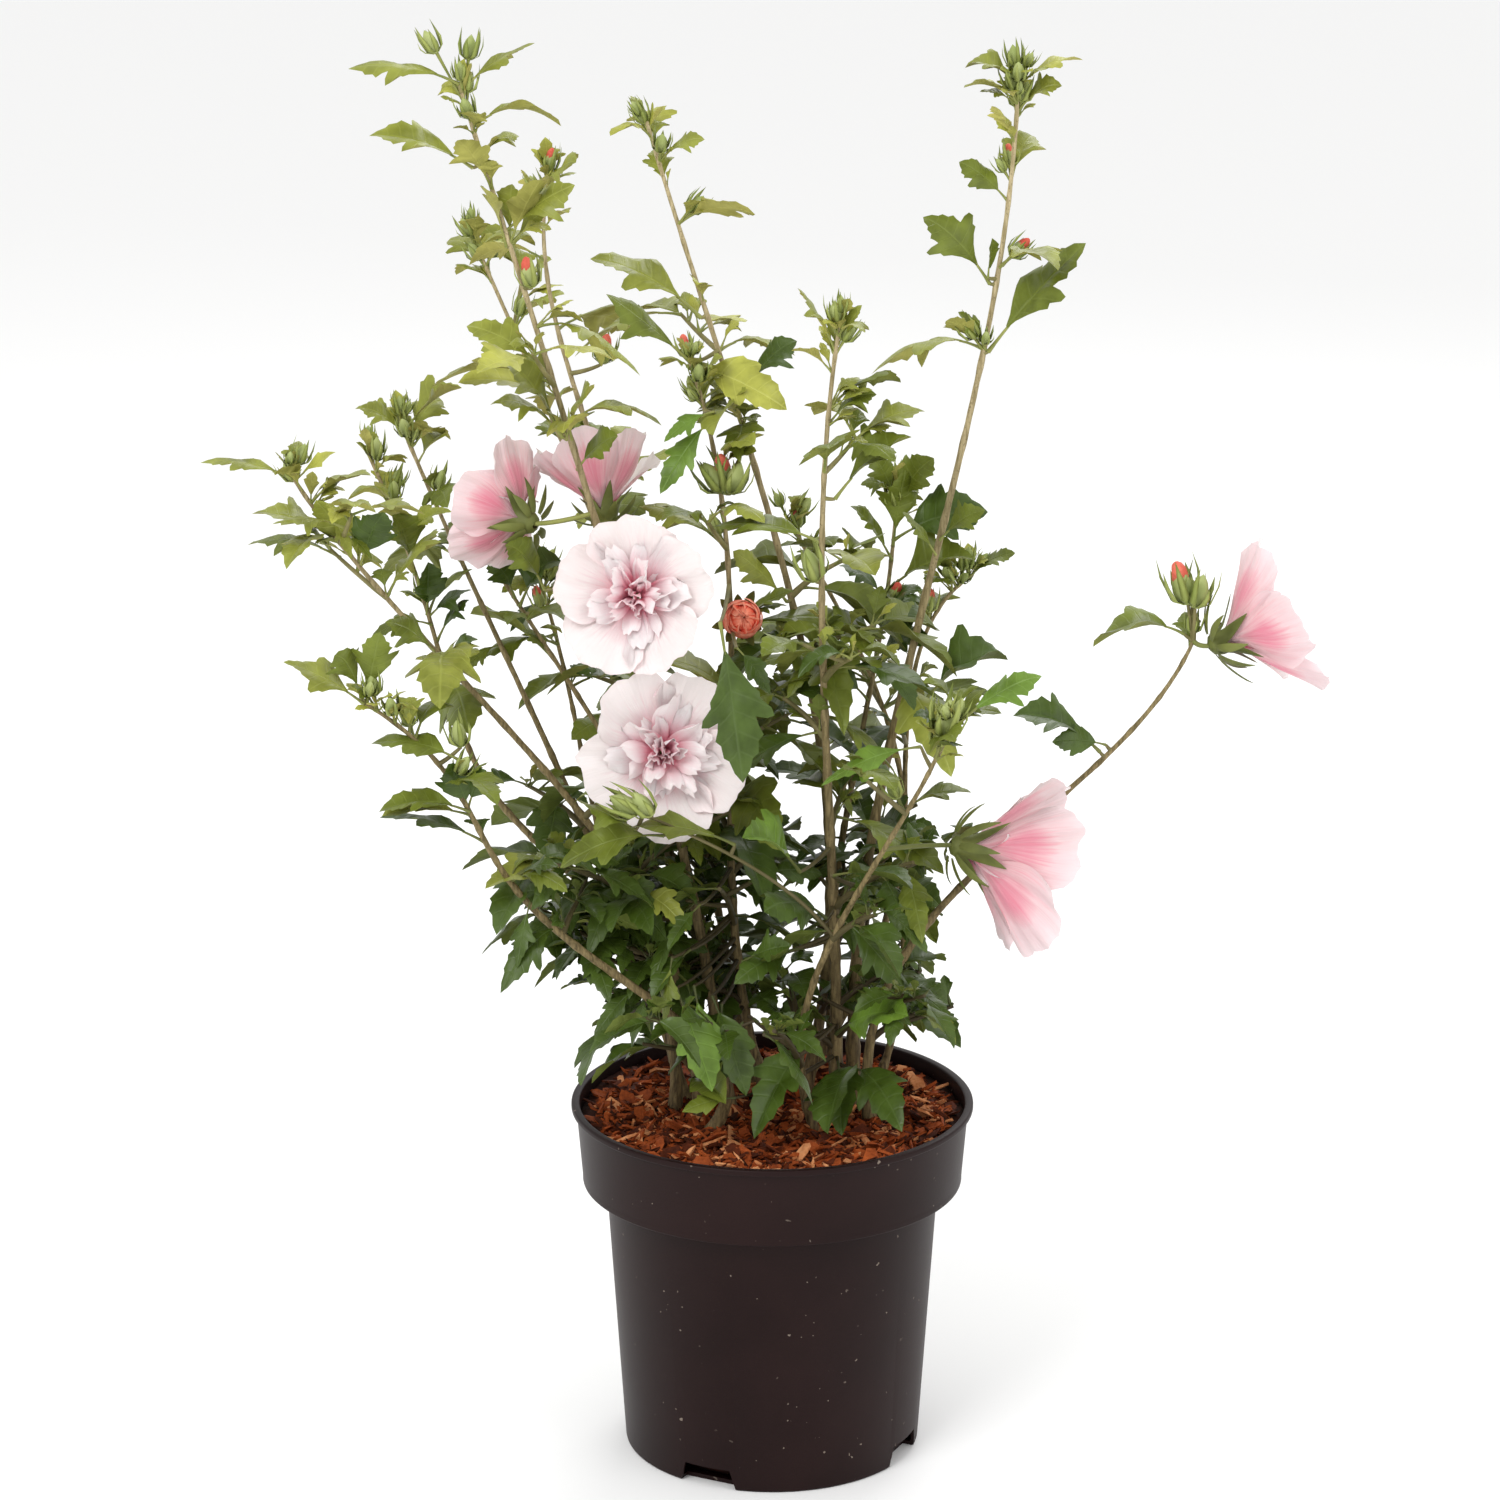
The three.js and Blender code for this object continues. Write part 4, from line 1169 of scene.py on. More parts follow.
# the line of a petal from its claw to its margin: how far out and how high
def petalLine(bloom, s):
    out = mix(flower["throatRadius"], bloom["radius"], s**0.95)
    height = mix(throatOf(bloom), bloom["depth"], s**0.8)
    return out, height - flower["cup"] * np.sin(math.pi * np.minimum(s, 1)) ** 2


# a broad outer petal, told by its distance from the axis, its angle round it and its height along it
def petalGrid(bloom, number, draw):
    f = flower
    s, t = np.meshgrid(np.linspace(0, 1, f["rows"]), np.linspace(-1, 1, f["columns"]), indexing="ij")
    middle = math.radians(bloom["turn"] + number * 360 / f["petals"] + 10 * (draw() - 0.5))
    size = 0.95 + 0.07 * draw()
    phase = fullTurn * draw()
    lean = 8 * (draw() - 0.5)
    peak, margin = bloom["half"]
    widening = mix(24, peak, np.sin(np.minimum(s / f["widest"], 1) * math.pi / 2))
    narrowing = mix(peak, margin, (np.maximum(s - f["widest"], 0) / (1 - f["widest"])) ** 2)
    half = np.radians(np.where(s < f["widest"], widening, narrowing))
    scallop = np.sin(7.3 * t + phase) + 0.7 * np.sin(13 * t - 2 * phase) + 0.4 * np.sin(27 * t + 3 * phase)
    reach = size * s * (1 - bloom["corner"] * np.abs(t) ** 2.6 * s) * (1 + f["crenate"] * scallop * s**3)
    out, height = petalLine(bloom, reach)
    waves = np.sin(4.6 * t + phase) + 0.8 * np.sin(8.5 * t - phase + 2 * s)
    waves = waves + 0.4 * np.sin(19 * t + 2 * phase)
    push = f["ruffle"] * waves * s**2.6 + 0.4 * np.sin(15 * t + phase) * np.sin(math.pi * s) ** 2
    push += lean * s * s + f["pinwheel"] * t * (0.25 + s)
    wall = wallOf(bloom)
    out = np.maximum(out - push * math.cos(wall), 1.2)
    out *= 1 + f["swing"] * t * np.sin(math.pi * np.minimum(s, 1))
    height += push * math.sin(wall)
    angle = middle + t * half + 0.03 * np.sin(5 * s + phase)
    return out, angle, height


# a loose inner petal: a strip that bends along its length and folds across it
def innerGrid(bloom, ring, number, draw):
    count, size, lean, width, _ = ring
    openness = min(1, math.degrees(wallOf(bloom)) / flower["openWall"])
    rows = flower["innerRows"]
    s = np.linspace(0, 1, rows)[:, None]
    t = np.linspace(-1, 1, flower["innerColumns"])[None, :]
    length = bloom["radius"] * size * (0.72 + 0.52 * draw()) * (0.7 + 0.3 * openness)
    middle = 2 * math.pi * (number + 0.9 * draw()) / count + lean
    tilt = np.radians((lean + 18 * (draw() - 0.6) + 56 * (draw() - 0.42) * (s - 0.25)) * openness**2)
    phase = fullTurn * draw()
    radial = np.array((math.cos(middle), math.sin(middle), 0))
    up = np.array((0, 0, 1.0))
    step = length / (rows - 1)
    forward = np.cos(tilt) * up + np.sin(tilt) * radial
    spine = np.cumsum(forward * step, axis=0) - forward[0] * step
    twist = 1.5 * (draw() - 0.5) * (0.4 + s)
    level = np.cross(radial, up)
    normal = np.cross(forward, level)
    side = level * np.cos(twist) + normal * np.sin(twist)
    normal = np.cross(forward, side)
    half = length * width * (0.7 + 0.75 * draw()) * np.sin(math.pi * (0.1 + 0.64 * s)) ** 0.85
    fold = (1.4 + 2.4 * draw()) * (1 if draw() < 0.7 else -0.8)
    bend = fold * t * t * (0.5 + s) + 1.2 * np.sin(5.5 * t + phase + 3 * s) * s
    bend = bend + 0.5 * np.sin(13 * t + phase) * s**3
    tip = 1 - 0.2 * t * t * s**3 + 0.05 * np.sin(11 * t + phase) * s**4
    rise = throatOf(bloom) + 1 + bloom["depth"] * 0.2 * (1 - lean / 90)
    start = radial * (1.2 + 3.4 * lean / 60 * openness**2) + up * rise
    grid = start + spine[:, None, :] * tip[..., None]
    grid = grid + side[:, None, :] * (t * half)[..., None] + normal[:, None, :] * bend[..., None]
    return grid[..., 0], grid[..., 1], grid[..., 2]


# the lobes of a calyx lie along a line of (out, height), each a strip that narrows to a point
def lobeGrids(line, count, length, turn):
    line = np.array(line, float)
    travelled = np.concatenate([[0], np.cumsum(np.linalg.norm(np.diff(line, axis=0), axis=1))])
    lobeFrom = flower["lobeFrom"] * length / flower["calyxLength"]
    far = np.linspace(0, 1, 10)[:, None] * length
    t = np.linspace(-1, 1, 5)[None, :]
    out = np.interp(far, travelled, line[:, 0])
    height = np.interp(far, travelled, line[:, 1]) + 0 * t
    widest = np.interp(lobeFrom, travelled, line[:, 0]) * math.radians(flower["calyxHalf"])
    narrow = widest * np.clip(1 - (far - lobeFrom) / (length - lobeFrom), 0.02, 1) ** 0.72
    half = np.where(far < lobeFrom, out * math.radians(flower["calyxHalf"]), narrow)
    grids = []
    for number in range(count):
        angle = 2 * math.pi * (number + 0.5) / count + turn + t * half / out
        ridge = out + 0.7 * (1 - np.abs(t)) * np.minimum(far / lobeFrom, 1)
        grids.append((ridge * np.cos(angle), ridge * np.sin(angle), height - 0.4 * np.abs(t)))
    return grids


def bractGrids(count, reach, spread, draw):
    grids = []
    s, t = np.meshgrid(np.linspace(0, 1, 8), np.linspace(-1, 1, 3), indexing="ij")
    for number in range(count):
        middle = 2 * math.pi * (number + 0.5 * draw()) / count
        length = mix(*reach, draw())
        start = math.radians(mix(*spread, draw()))
        bend = 0.45 * (draw() - 0.2)
        lean = start + 0.5 - (0.5 + bend) * s
        out = 5 + np.cumsum(np.sin(lean), axis=0) * length / 8
        height = 1.5 + np.cumsum(np.cos(lean), axis=0) * length / 8
        shift = t * flower["bractWidth"] * np.sin(math.pi * (0.2 + 0.78 * s))
        x = out * math.cos(middle) - shift * math.sin(middle)
        y = out * math.sin(middle) + shift * math.cos(middle)
        grids.append((x, y, height + 0.5 * np.abs(t)))
    return grids


def placedGrid(bloom, grid):
    axis, side, across = bloomFrame(bloom)
    x, y, z = grid
    base = np.array(bloom["base"], float)
    return base + side * x[..., None] + across * y[..., None] + axis * z[..., None]


def bloomGrids(bloom):
    draw = seededRandom(bloom["seed"])
    petals = []
    for number in range(flower["petals"]):
        out, angle, height = petalGrid(bloom, number, draw)
        petals.append((out * np.cos(angle), out * np.sin(angle), height))
    petaloids = []
    for ring in flower["rings"]:
        for number in range(ring[0]):
            petaloids.append(innerGrid(bloom, ring, number, draw))
    wall = wallOf(bloom)
    out, height = petalLine(bloom, np.linspace(0, 1, 24))
    behind = 3.2 + 0 * out
    line = [(2.5, 0), (6, 2), (7.4, 6)]
    for r, h in zip(out + behind * math.cos(wall), height - behind * math.sin(wall)):
        if r > 8 and h > 6:
            line.append((r, h))
    grown = bloom.get("calyx", 1)
    length = flower["calyxLength"] * grown
    green = lobeGrids(line, flower["calyxLobes"], length, math.radians(bloom["turn"]))
    steep = math.degrees(wall) * 0.85
    reach = [length * grown for length in flower["bractLength"]]
    green += bractGrids(flower["bracts"], reach, (steep, steep + 22), draw)
    return petals, petaloids, green


# a bud that opens as a tight ball of rolled petals, seen from its top
def rosetteGrids(bud):
    draw = seededRandom(bud["seed"])
    s, t = np.meshgrid(np.linspace(0, 1, bud["rows"]), np.linspace(-1, 1, bud["columns"]), indexing="ij")
    petals = []
    for count, size, end, turn in bud["layers"]:
        for number in range(count):
            polar = np.radians(mix(158, end + 9 * t * t * s + 8 * (draw() - 0.5), s**0.9))
            azimuth = math.radians(turn) + 2 * math.pi * (number + 0.12 * draw()) / count
            azimuth = azimuth + t * np.radians(mix(34, 62, np.sin(s * 1.5))) + 0.5 * s * s
            radius = bud["radius"] * size * (1 + 0.11 * t * np.sin(math.pi * s * 0.8))
            radius = radius + 1.3 * s**7 + 0.3 * np.sin(9 * t + 4 * number) * s**3
            x = radius * np.sin(polar) * np.cos(azimuth)
            y = radius * np.sin(polar) * np.sin(azimuth)
            petals.append((x, y, bud["radius"] * 1.05 + radius * np.cos(polar)))
    for number in range(bud["ridges"]):
        long = 0.82 if number % 2 else 0.56
        out = bud["radius"] * (0.04 + long * (0.5 + 0.5 * t))
        bend = 1.2 * (draw() - 0.35)
        azimuth = 2 * math.pi * (number + 0.5 * draw()) / bud["ridges"]
        azimuth = azimuth + bend * out / bud["radius"] + 0.5 * s
        dome = np.sqrt(1 - (0.8 * out / bud["radius"]) ** 2) - 0.08 * draw()
        height = bud["radius"] * mix(0.5, dome + 0.04, s) + 0.4 * np.sin(3 * t + number) * s
        petals.append((out * np.cos(azimuth), out * np.sin(azimuth), bud["radius"] * 1.05 + height))
    line = []
    for angle in np.linspace(178, 70, 14):
        grown = 1.1 * bud["radius"]
        sine, cosine = math.sin(math.radians(angle)), math.cos(math.radians(angle))
        line.append((grown * sine + 0.3, grown * (1 + cosine)))
    green = lobeGrids(line, bud["lobes"], 19, 0.3)
    green += bractGrids(bud["bracts"], (13, 21), (34, 62), draw)
    return petals, green


def buildBlooms(petalFinishes, calyxFinish):
    petals = Pile()
    cups = Pile()

    # spread is how far apart on the surface map the petals are, so that no two streak alike
    def shelled(bloom, grids, thickness, pile, kinds, spread=1.3, tones=None):
        for number, grid in enumerate(grids):
            points, top, bottom, surface = sheetShell(placedGrid(bloom, grid), thickness)
            tone = tones[number] if tones else 1
            pile.put(points, [top, bottom], surface * (tone, 0.998) + (0, spread * number), kinds)

    thin = flower["thickness"]
    thick = flower["greenThickness"]
    # how far up the colours each inner petal reaches; the inner ones stay pink, partly their own pink,
    # partly painted rosy light in the shade
    tones = [ring[4] for ring in flower["rings"] for _ in range(ring[0])]
    for bloom in blooms.values():
        outer, inner, green = bloomGrids(bloom)
        shelled(bloom, outer, thin, petals, [0, 1], 2)
        shelled(bloom, inner, thin, petals, 2, tones=tones)
        shelled(bloom, green, thick, cups, 0)
    coral, green = rosetteGrids(rosette)
    shelled(rosette, coral, thin, petals, 3)
    shelled(rosette, green, thick, cups, 0)
    nodes = nodesNamed("bloom_")
    crease = flower["crease"]
    finished("petals", petals.mesh("petals", petalFinishes, crease), "petal", nodes)
    finished("calyces", cups.mesh("calyces", [calyxFinish], crease), "leaf", nodes)


# what is added to the rule: spur leaves, clusters at the tips, and thickets low on the canes
finer = {
    "spurs": (0.78, 0.4),  # chance of small leaves beside a leaf, above and low down
    "spurLeaves": (1, 3),
    "spurSize": (0.36, 0.6),  # by the length of the leaf that they stand beside
    "spurSpread": 120,
    "spurRise": (18, 62),
    "spurOut": (1, 5),
    "spurRoll": 50,
    "youngSpur": 30,  # spur leaves shorter than this have a young leaf's outline
    "lowTop": 430,  # the low growth reaches up to here
    "grown": 1.16,  # leaves above it are this much longer than their rule tells
    "lowSize": 0.84,  # and the low leaves below it
    "lowRight": 126,  # no low leaf goes further to the right than this
    "lowShoots": (98, 14),  # nor a low shoot further than this, but it has its least length
    "overSoil": 288,  # no grown leaf hangs lower than this
    "broadShare": 0.7,  # of the low leaves
    "tipLeaves": 4,
    "tipBuds": 1,
    "extraBud": (0.3, 70, 0.7),  # its chance, how far round it stands, its share of the first one's length
    "thicketFrom": 284,
    "thicketStep": 34,
    "thicketUpTo": 20,  # under the height where the cane's own leaves start
    "thicketReach": (26, 64),
    # its share of filled places, and the distances to a side and up over which that falls by one
    "thicketShare": (1.08, 185, 260),
    "rightShare": (30, 0.52),  # from here to the right the low growth is thinner
    "rule": {
        "spacing": 20,
        "leaf": (68, 61),
        "rise": (-12, 6),
        "bud": 0,
        "twig": 0.2,
        "tipLeaves": 2,
        "tipBuds": 0,
    },
}
budPlan = {
    # profiles of (radius, height) as shares of its length
    "cup": (
        (0.0, 0.0), (0.15, 0.02), (0.24, 0.16), (0.28, 0.36),
        (0.26, 0.56), (0.19, 0.76), (0.09, 0.9), (0.0, 1.0),
    ),
    "petals": (
        (0.0, 0.5), (0.17, 0.54), (0.225, 0.72), (0.2, 0.92),
        (0.13, 1.05), (0.05, 1.11), (0.0, 1.12),
    ),
    "sides": 10,
    "share": 0.56,  # of its length with its stalk
    "stalk": (1.1, 0.9, 1.3),
    "longest": 17,
    "bracts": 7,
    "bractWidths": (0.08, 0.11, 0.085),
    "coral": 0.1,  # chance that a bud shows its petals
}
# leaves and buds keep out of a bloom's mouth and out of the view on it from the front
clearance = {"side": 4, "mouth": 24, "view": 130, "share": 0.88}  # millimetres, and of the radius
# canes are drawn with this many places, swollen at their joints and thinner towards the tip
caneForm = {"places": 150, "thinner": 0.16, "firstJoint": 0.06, "joint": 0.075, "swelling": (0.22, 0.008)}
# at the tip of a cane: places along it with the step between them, and for all else the least value
# and how much chance may add to it
tipForm = {
    "leafPlace": (0.997, 0.004),
    "leafRise": (25, 50),
    "leafLength": (20, 16),
    "leafRoll": 40,
    "budPlace": (0.998, 0.01),
    "budRise": (52, 34),
    "budLength": (17, 8),
}
# girths of thin growth, from its start to its end, and how far its middle sags
twigForm = {
    "ruled": (2, 1.2),
    "sag": 2,
    "spray": (1.4, 0.9),
    "leafTwig": 1.7,
    "budTwig": 1.8,
    "thinner": 0.62,
    "added": (0.55, 0.08),  # where along it an added twig sags most, and by how much of its length
    "shortest": 2,
    "leafStalk": (1.5, 1.05, 0.9, 0.8),
    "spurStalk": (1.3, 0.9),
}
# each kind of growth draws its chances from seeds of its own
seedShift = {"own": 400, "thicket": 800}
featureSeed = 77
# canes that stay in view from the front, between two heights, and how far the leaves keep off them
openings = {
    "front": (262, 520, 9),
    "middle": (268, 420, 8),
    "front_right": (430, 540, 7),
}
# lengths of cane, from one height to another, where nothing grows but the features
bare = {
    "tall_right": ((640, 772), (836, 866)),
    "far_right": ((430, 578),),
    "tall_middle": ((806, 846),),
}
outlook = 0.291  # how much lower a thing seems for each step that it stands nearer

# a twig in front of the lower bloom, on the cane that it leaves
sprays = {
    "spray": ((40, -79, 398), (12, -84, 436), (-27, -90, 462), (-78, -100, 485), (-108, -106, 501)),
}
# the camera's frame is counted in this many steps, across from its left and down from its top
frameSteps = 1500
# leaves with a place of their own: what they grow on, then stalk and tip as (across, down, depth in
# mm), then droop, bearing, roll, outline and tint
features = (
    ("middle", (720, 622, -84), (743, 783, -99), 0.12, 270, -20, "lobed", "deep"),
    ("middle", (737, 648, -56), (770, 694, -66), 0.3, 300, 20, "broad", "deep"),
    ("tall_middle", (787, 602, 48), (733, 551, 38), 0.2, 180, -26, "lobed", "fresh"),
    ("tall_middle", (701, 318, 66), (590, 259, 58), 0.32, 180, -23, "lobed", "fresh"),
    ("middle", (688, 360, 28), (606, 294, 18), 0.1, 180, -29, "lobed", "mid"),
    ("tall_middle", (690, 364, 44), (787, 410, 14), 0.2, 0, 64, "broad", "tip"),
    ("front_right", (921, 747, -112), (821, 786, -122), 0.32, 180, -28, "lobed", "green"),
    ("front_right", (960, 722, -139), (1042, 676, -142), 0.26, 0, 24, "lobed", "green"),
    ("far_right", (1100, 752, -18), (1013, 716, -30), 0.4, 180, -21, "lobed", "deep"),
    ("far_right", (1106, 745, -18), (1052, 742, -34), 0.2, 190, -60, "broad", "deep"),
    ("far_right", (1184, 634, -19), (1093, 647, -26), 0.6, 180, -13, "broad", "mid"),
    ("tall_right", (1007, 200, 28), (959, 162, 20), 0.24, 180, -46, "broad", "mid"),
    ("tall_right", (990, 284, 25), (923, 217, 16), 0.3, 180, -50, "lobed", "mid"),
    ("tall_right", (988, 352, 24), (1086, 243, 16), 0.12, 0, 28, "lobed", "mid"),
    ("tall_right", (986, 350, 24), (958, 312, 14), 0.2, 180, -30, "lobed", "mid"),
    ("tall_right", (1017, 86, 30), (965, 68, 24), 0.55, 180, -14, "lobed", "fresh"),
    ("tall_right", (1020, 84, 30), (1083, 60, 24), 0.4, 0, 12, "lobed", "tip"),
    ("tall_right", (1019, 110, 30), (1062, 86, 24), 0.45, 0, 14, "lobed", "fresh"),
    ("tall_left", (473, 168, -25), (369, 136, -36), 0.3, 180, -24, "lobed", "fresh"),
    ("tall_left", (459, 84, -24), (348, 69, -34), 0.32, 180, -21, "lobed", "fresh"),
    ("tall_left", (461, 90, -24), (535, 43, -30), 0.22, 0, 22, "lobed", "fresh"),
    ("tall_left", (505, 232, -20), (575, 185, -34), 0.2, 0, 23, "lobed", "fresh"),
    ("far_left", (292, 478, -29), (200, 463, -34), 0.28, 180, -19, "lobed", "fresh"),
    ("far_left", (296, 480, -29), (336, 452, -36), 0.2, 0, 20, "young", "tip"),
    ("low_left", (364, 704, -120), (283, 662, -128), 0.2, 180, -16, "broad", "fresh"),
    ("low_left", (462, 762, -112), (371, 744, -124), 0.36, 180, -25, "broad", "mid"),
    ("low_left", (470, 812, -104), (379, 812, -120), 0.4, 180, -24, "lobed", "mid"),
    ("low_left", (530, 902, -82), (517, 969, -104), 0.3, 230, 0, "lobed", "deep"),
    ("tall_right", (925, 700, 16), (1008, 660, 4), 0.46, 0, 13, "broad", "deep"),
    ("middle", (694, 986, -62), (711, 1084, -100), 0.16, 270, -14, "lobed", "green"),
    ("front", (812, 1036, -34), (754, 1139, -98), 0.46, 248, -12, "lobed", "deep"),
    ("front", (735, 1098, -86), (682, 1112, -108), 0.2, 190, -16, "young", "mid"),
    ("front", (838, 1062, -20), (842, 1136, -84), 0.5, 290, 14, "broad", "deep"),
    ("front", (822, 925, -40), (776, 905, -70), 0.3, 180, -22, "broad", "deep"),
    ("back_right", (896, 985, -20), (950, 1020, -52), 0.4, 340, 13, "lobed", "deep"),
    ("front", (742, 962, -60), (792, 946, -82), 0.2, 350, 22, "lobed", "deep"),
    ("spray", (735, 845, -88), (628, 828, -104), 0.3, 180, -20, "young", "mid"),
    ("spray", (664, 836, -98), (560, 868, -108), 0.42, 180, -20, "broad", "mid"),
    ("spray", (636, 830, -102), (576, 800, -110), 0.1, 180, -25, "broad", "mid"),
    ("front", (835, 499, -46), (912, 437, -50), 0.34, 0, 22, "lobed", "mid"),
    ("front", (838, 345, -58), (862, 305, -60), 0.1, 10, 40, "lobed", "fresh"),
    ("tall_middle", (745, 392, 60), (797, 341, 50), 0.35, 0, 26, "lobed", "deep"),
    ("tall_left", (561, 436, -16), (500, 362, -34), 0.4, 180, -12, "lobed", "fresh"),
    ("tall_left", (563, 438, -16), (490, 405, -40), 0.5, 190, -10, "lobed", "fresh"),
    ("tall_left", (566, 440, -15), (590, 384, -40), 0.3, 330, 12, "lobed", "fresh"),
    ("tall_left", (507, 247, -20), (480, 186, -34), 0.35, 200, -14, "lobed", "fresh"),
    ("tall_left", (509, 247, -20), (541, 180, -40), 0.25, 300, 6, "lobed", "fresh"),
    ("far_left", (338, 530, -27), (372, 560, -40), 0.6, 330, 10, "lobed", "mid"),
    ("far_left", (330, 515, -27), (352, 560, -44), 0.6, 290, 0, "lobed", "fresh"),
    ("upper_left", (408, 440, 105), (358, 408, 96), 0.4, 180, -18, "lobed", "fresh"),
    ("upper_left", (405, 430, 106), (462, 388, 96), 0.35, 0, 20, "lobed", "fresh"),
    ("left", (432, 625, 48), (370, 640, 40), 0.6, 180, -20, "lobed", "mid"),
    ("left", (438, 640, 47), (470, 600, 38), 0.4, 0, 20, "lobed", "deep"),
    ("tall_left", (545, 590, -8), (505, 545, -26), 0.4, 180, -30, "broad", "mid"),
    ("inner_right", (896, 500, 114), (870, 452, 104), 0.25, 160, -20, "lobed", "mid"),
    ("inner_right", (896, 505, 114), (934, 458, 96), 0.3, 20, 26, "broad", "mid"),
    ("inner_right", (894, 540, 110), (988, 512, 84), 0.3, 10, 24, "broad", "deep"),
    ("inner_right", (893, 545, 110), (905, 470, 100), 0.2, 90, 10, "lobed", "mid"),
    ("inner_right", (892, 560, 108), (850, 506, 96), 0.3, 170, -24, "lobed", "mid"),
    ("inner_right", (888, 590, 104), (975, 560, 78), 0.4, 5, 20, "lobed", "mid"),
    ("inner_right", (886, 600, 102), (838, 566, 90), 0.4, 180, -20, "broad", "deep"),
    ("inner_right", (884, 612, 100), (922, 590, 76), 0.4, 350, 14, "lobed", "deep"),
    ("inner_right", (878, 645, 96), (842, 610, 82), 0.3, 190, -20, "lobed", "deep"),
    ("inner_right", (876, 655, 94), (930, 640, 70), 0.4, 350, 20, "broad", "deep"),
    ("inner_right", (868, 700, 88), (815, 672, 70), 0.4, 180, -20, "broad", "deep"),
    ("tall_right", (940, 540, 20), (985, 510, 4), 0.3, 0, 24, "lobed", "mid"),
    ("tall_right", (936, 555, 20), (902, 512, 8), 0.2, 180, -26, "lobed", "mid"),
    ("front", (800, 872, -60), (742, 838, -106), 0.36, 200, -14, "lobed", "green"),
    ("front", (826, 918, -40), (764, 912, -96), 0.4, 200, -12, "broad", "deep"),
    ("front", (803, 948, -30), (734, 984, -76), 0.3, 190, -16, "lobed", "deep"),
    ("front", (838, 916, -18), (906, 992, -52), 0.3, 320, 20, "lobed", "deep"),
    ("front", (836, 1034, -30), (908, 1016, -92), 0.3, 340, 24, "broad", "green"),
    ("back_right", (880, 985, 40), (961, 1048, -20), 0.24, 330, 16, "lobed", "deep"),
    ("front", (850, 1068, -20), (828, 1134, -96), 0.5, 262, 10, "broad", "deep"),
    ("front", (852, 1068, -16), (902, 1132, -94), 0.5, 300, 18, "lobed", "deep"),
    ("low_left", (612, 1022, -30), (581, 1086, -96), 0.4, 220, 30, "lobed", "deep"),
    ("middle", (690, 1080, -40), (726, 1104, -108), 0.3, 300, 10, "young", "mid"),
    ("tall_right", (988, 278, 22), (992, 238, 12), 0.2, 90, 50, "young", "mid"),
    ("left", (427, 615, 50), (428, 562, 40), 0.2, 90, 20, "broad", "deep"),
    ("left", (428, 618, 50), (472, 590, 40), 0.3, 0, 24, "broad", "deep"),
    ("left", (415, 575, 52), (392, 515, 40), 0.4, 150, -16, "lobed", "mid"),
    ("left", (402, 540, 54), (452, 512, 44), 0.4, 0, 20, "lobed", "fresh"),
    ("far_left", (352, 556, -26), (316, 500, -40), 0.25, 130, -30, "lobed", "fresh"),
    ("far_left", (360, 566, -26), (384, 512, -40), 0.3, 60, 20, "broad", "deep"),
    ("far_left", (440, 658, -22), (385, 622, -40), 0.35, 180, -22, "lobed", "mid"),
    ("far_left", (446, 664, -22), (478, 640, -38), 0.4, 0, 24, "broad", "deep"),
    ("far_left", (450, 668, -22), (436, 692, -50), 0.2, 240, 10, "broad", "deep"),
    ("low_left", (362, 700, -112), (334, 656, -120), 0.5, 170, -10, "lobed", "mid"),
    ("low_left", (366, 703, -112), (380, 632, -120), 0.2, 80, 20, "lobed", "mid"),
    ("low_left", (470, 812, -100), (448, 764, -116), 0.2, 120, -24, "broad", "deep"),
    ("low_left", (468, 808, -100), (486, 770, -116), 0.3, 40, 24, "broad", "deep"),
    ("low_left", (470, 815, -100), (382, 816, -114), 0.3, 190, -16, "lobed", "fresh"),
    ("inner_left", (515, 598, 64), (490, 560, 48), 0.4, 170, -20, "broad", "deep"),
    ("inner_left", (520, 606, 64), (562, 562, 46), 0.5, 10, 20, "broad", "deep"),
    ("thin_left", (545, 600, 104), (510, 632, 90), 0.5, 200, -16, "lobed", "deep"),
    ("upper_left", (500, 645, 82), (462, 672, 66), 0.5, 190, -14, "lobed", "mid"),
    ("tall_left", (577, 470, -12), (618, 436, -36), 0.3, 0, 14, "broad", "mid"),
    ("middle", (722, 1004, -52), (718, 1092, -74), 0.3, 270, 0, "broad", "deep"),
    ("low_left", (640, 985, -50), (594, 1038, -70), 0.35, 200, -20, "lobed", "deep"),
    ("low_left", (648, 992, -50), (632, 1052, -80), 0.4, 230, 10, "broad", "deep"),
    ("middle", (690, 950, -50), (652, 1000, -80), 0.35, 230, -10, "broad", "deep"),
    ("middle", (672, 958, -70), (664, 1026, -84), 0.3, 260, 10, "lobed", "mid"),
    ("middle", (700, 905, -60), (668, 950, -90), 0.3, 220, -10, "lobed", "deep"),
    ("middle", (706, 1040, -40), (668, 1075, -70), 0.4, 210, 10, "lobed", "deep"),
    ("middle", (676, 988, -76), (712, 1092, -104), 0.2, 280, -10, "broad", "green"),
    ("middle", (712, 996, -56), (746, 1096, -84), 0.2, 290, 6, "broad", "deep"),
    ("middle", (712, 418, 12), (660, 494, -8), 0.3, 200, -24, "lobed", "green"),
    ("middle", (714, 412, 12), (664, 442, -4), 0.4, 180, -26, "lobed", "green"),
)
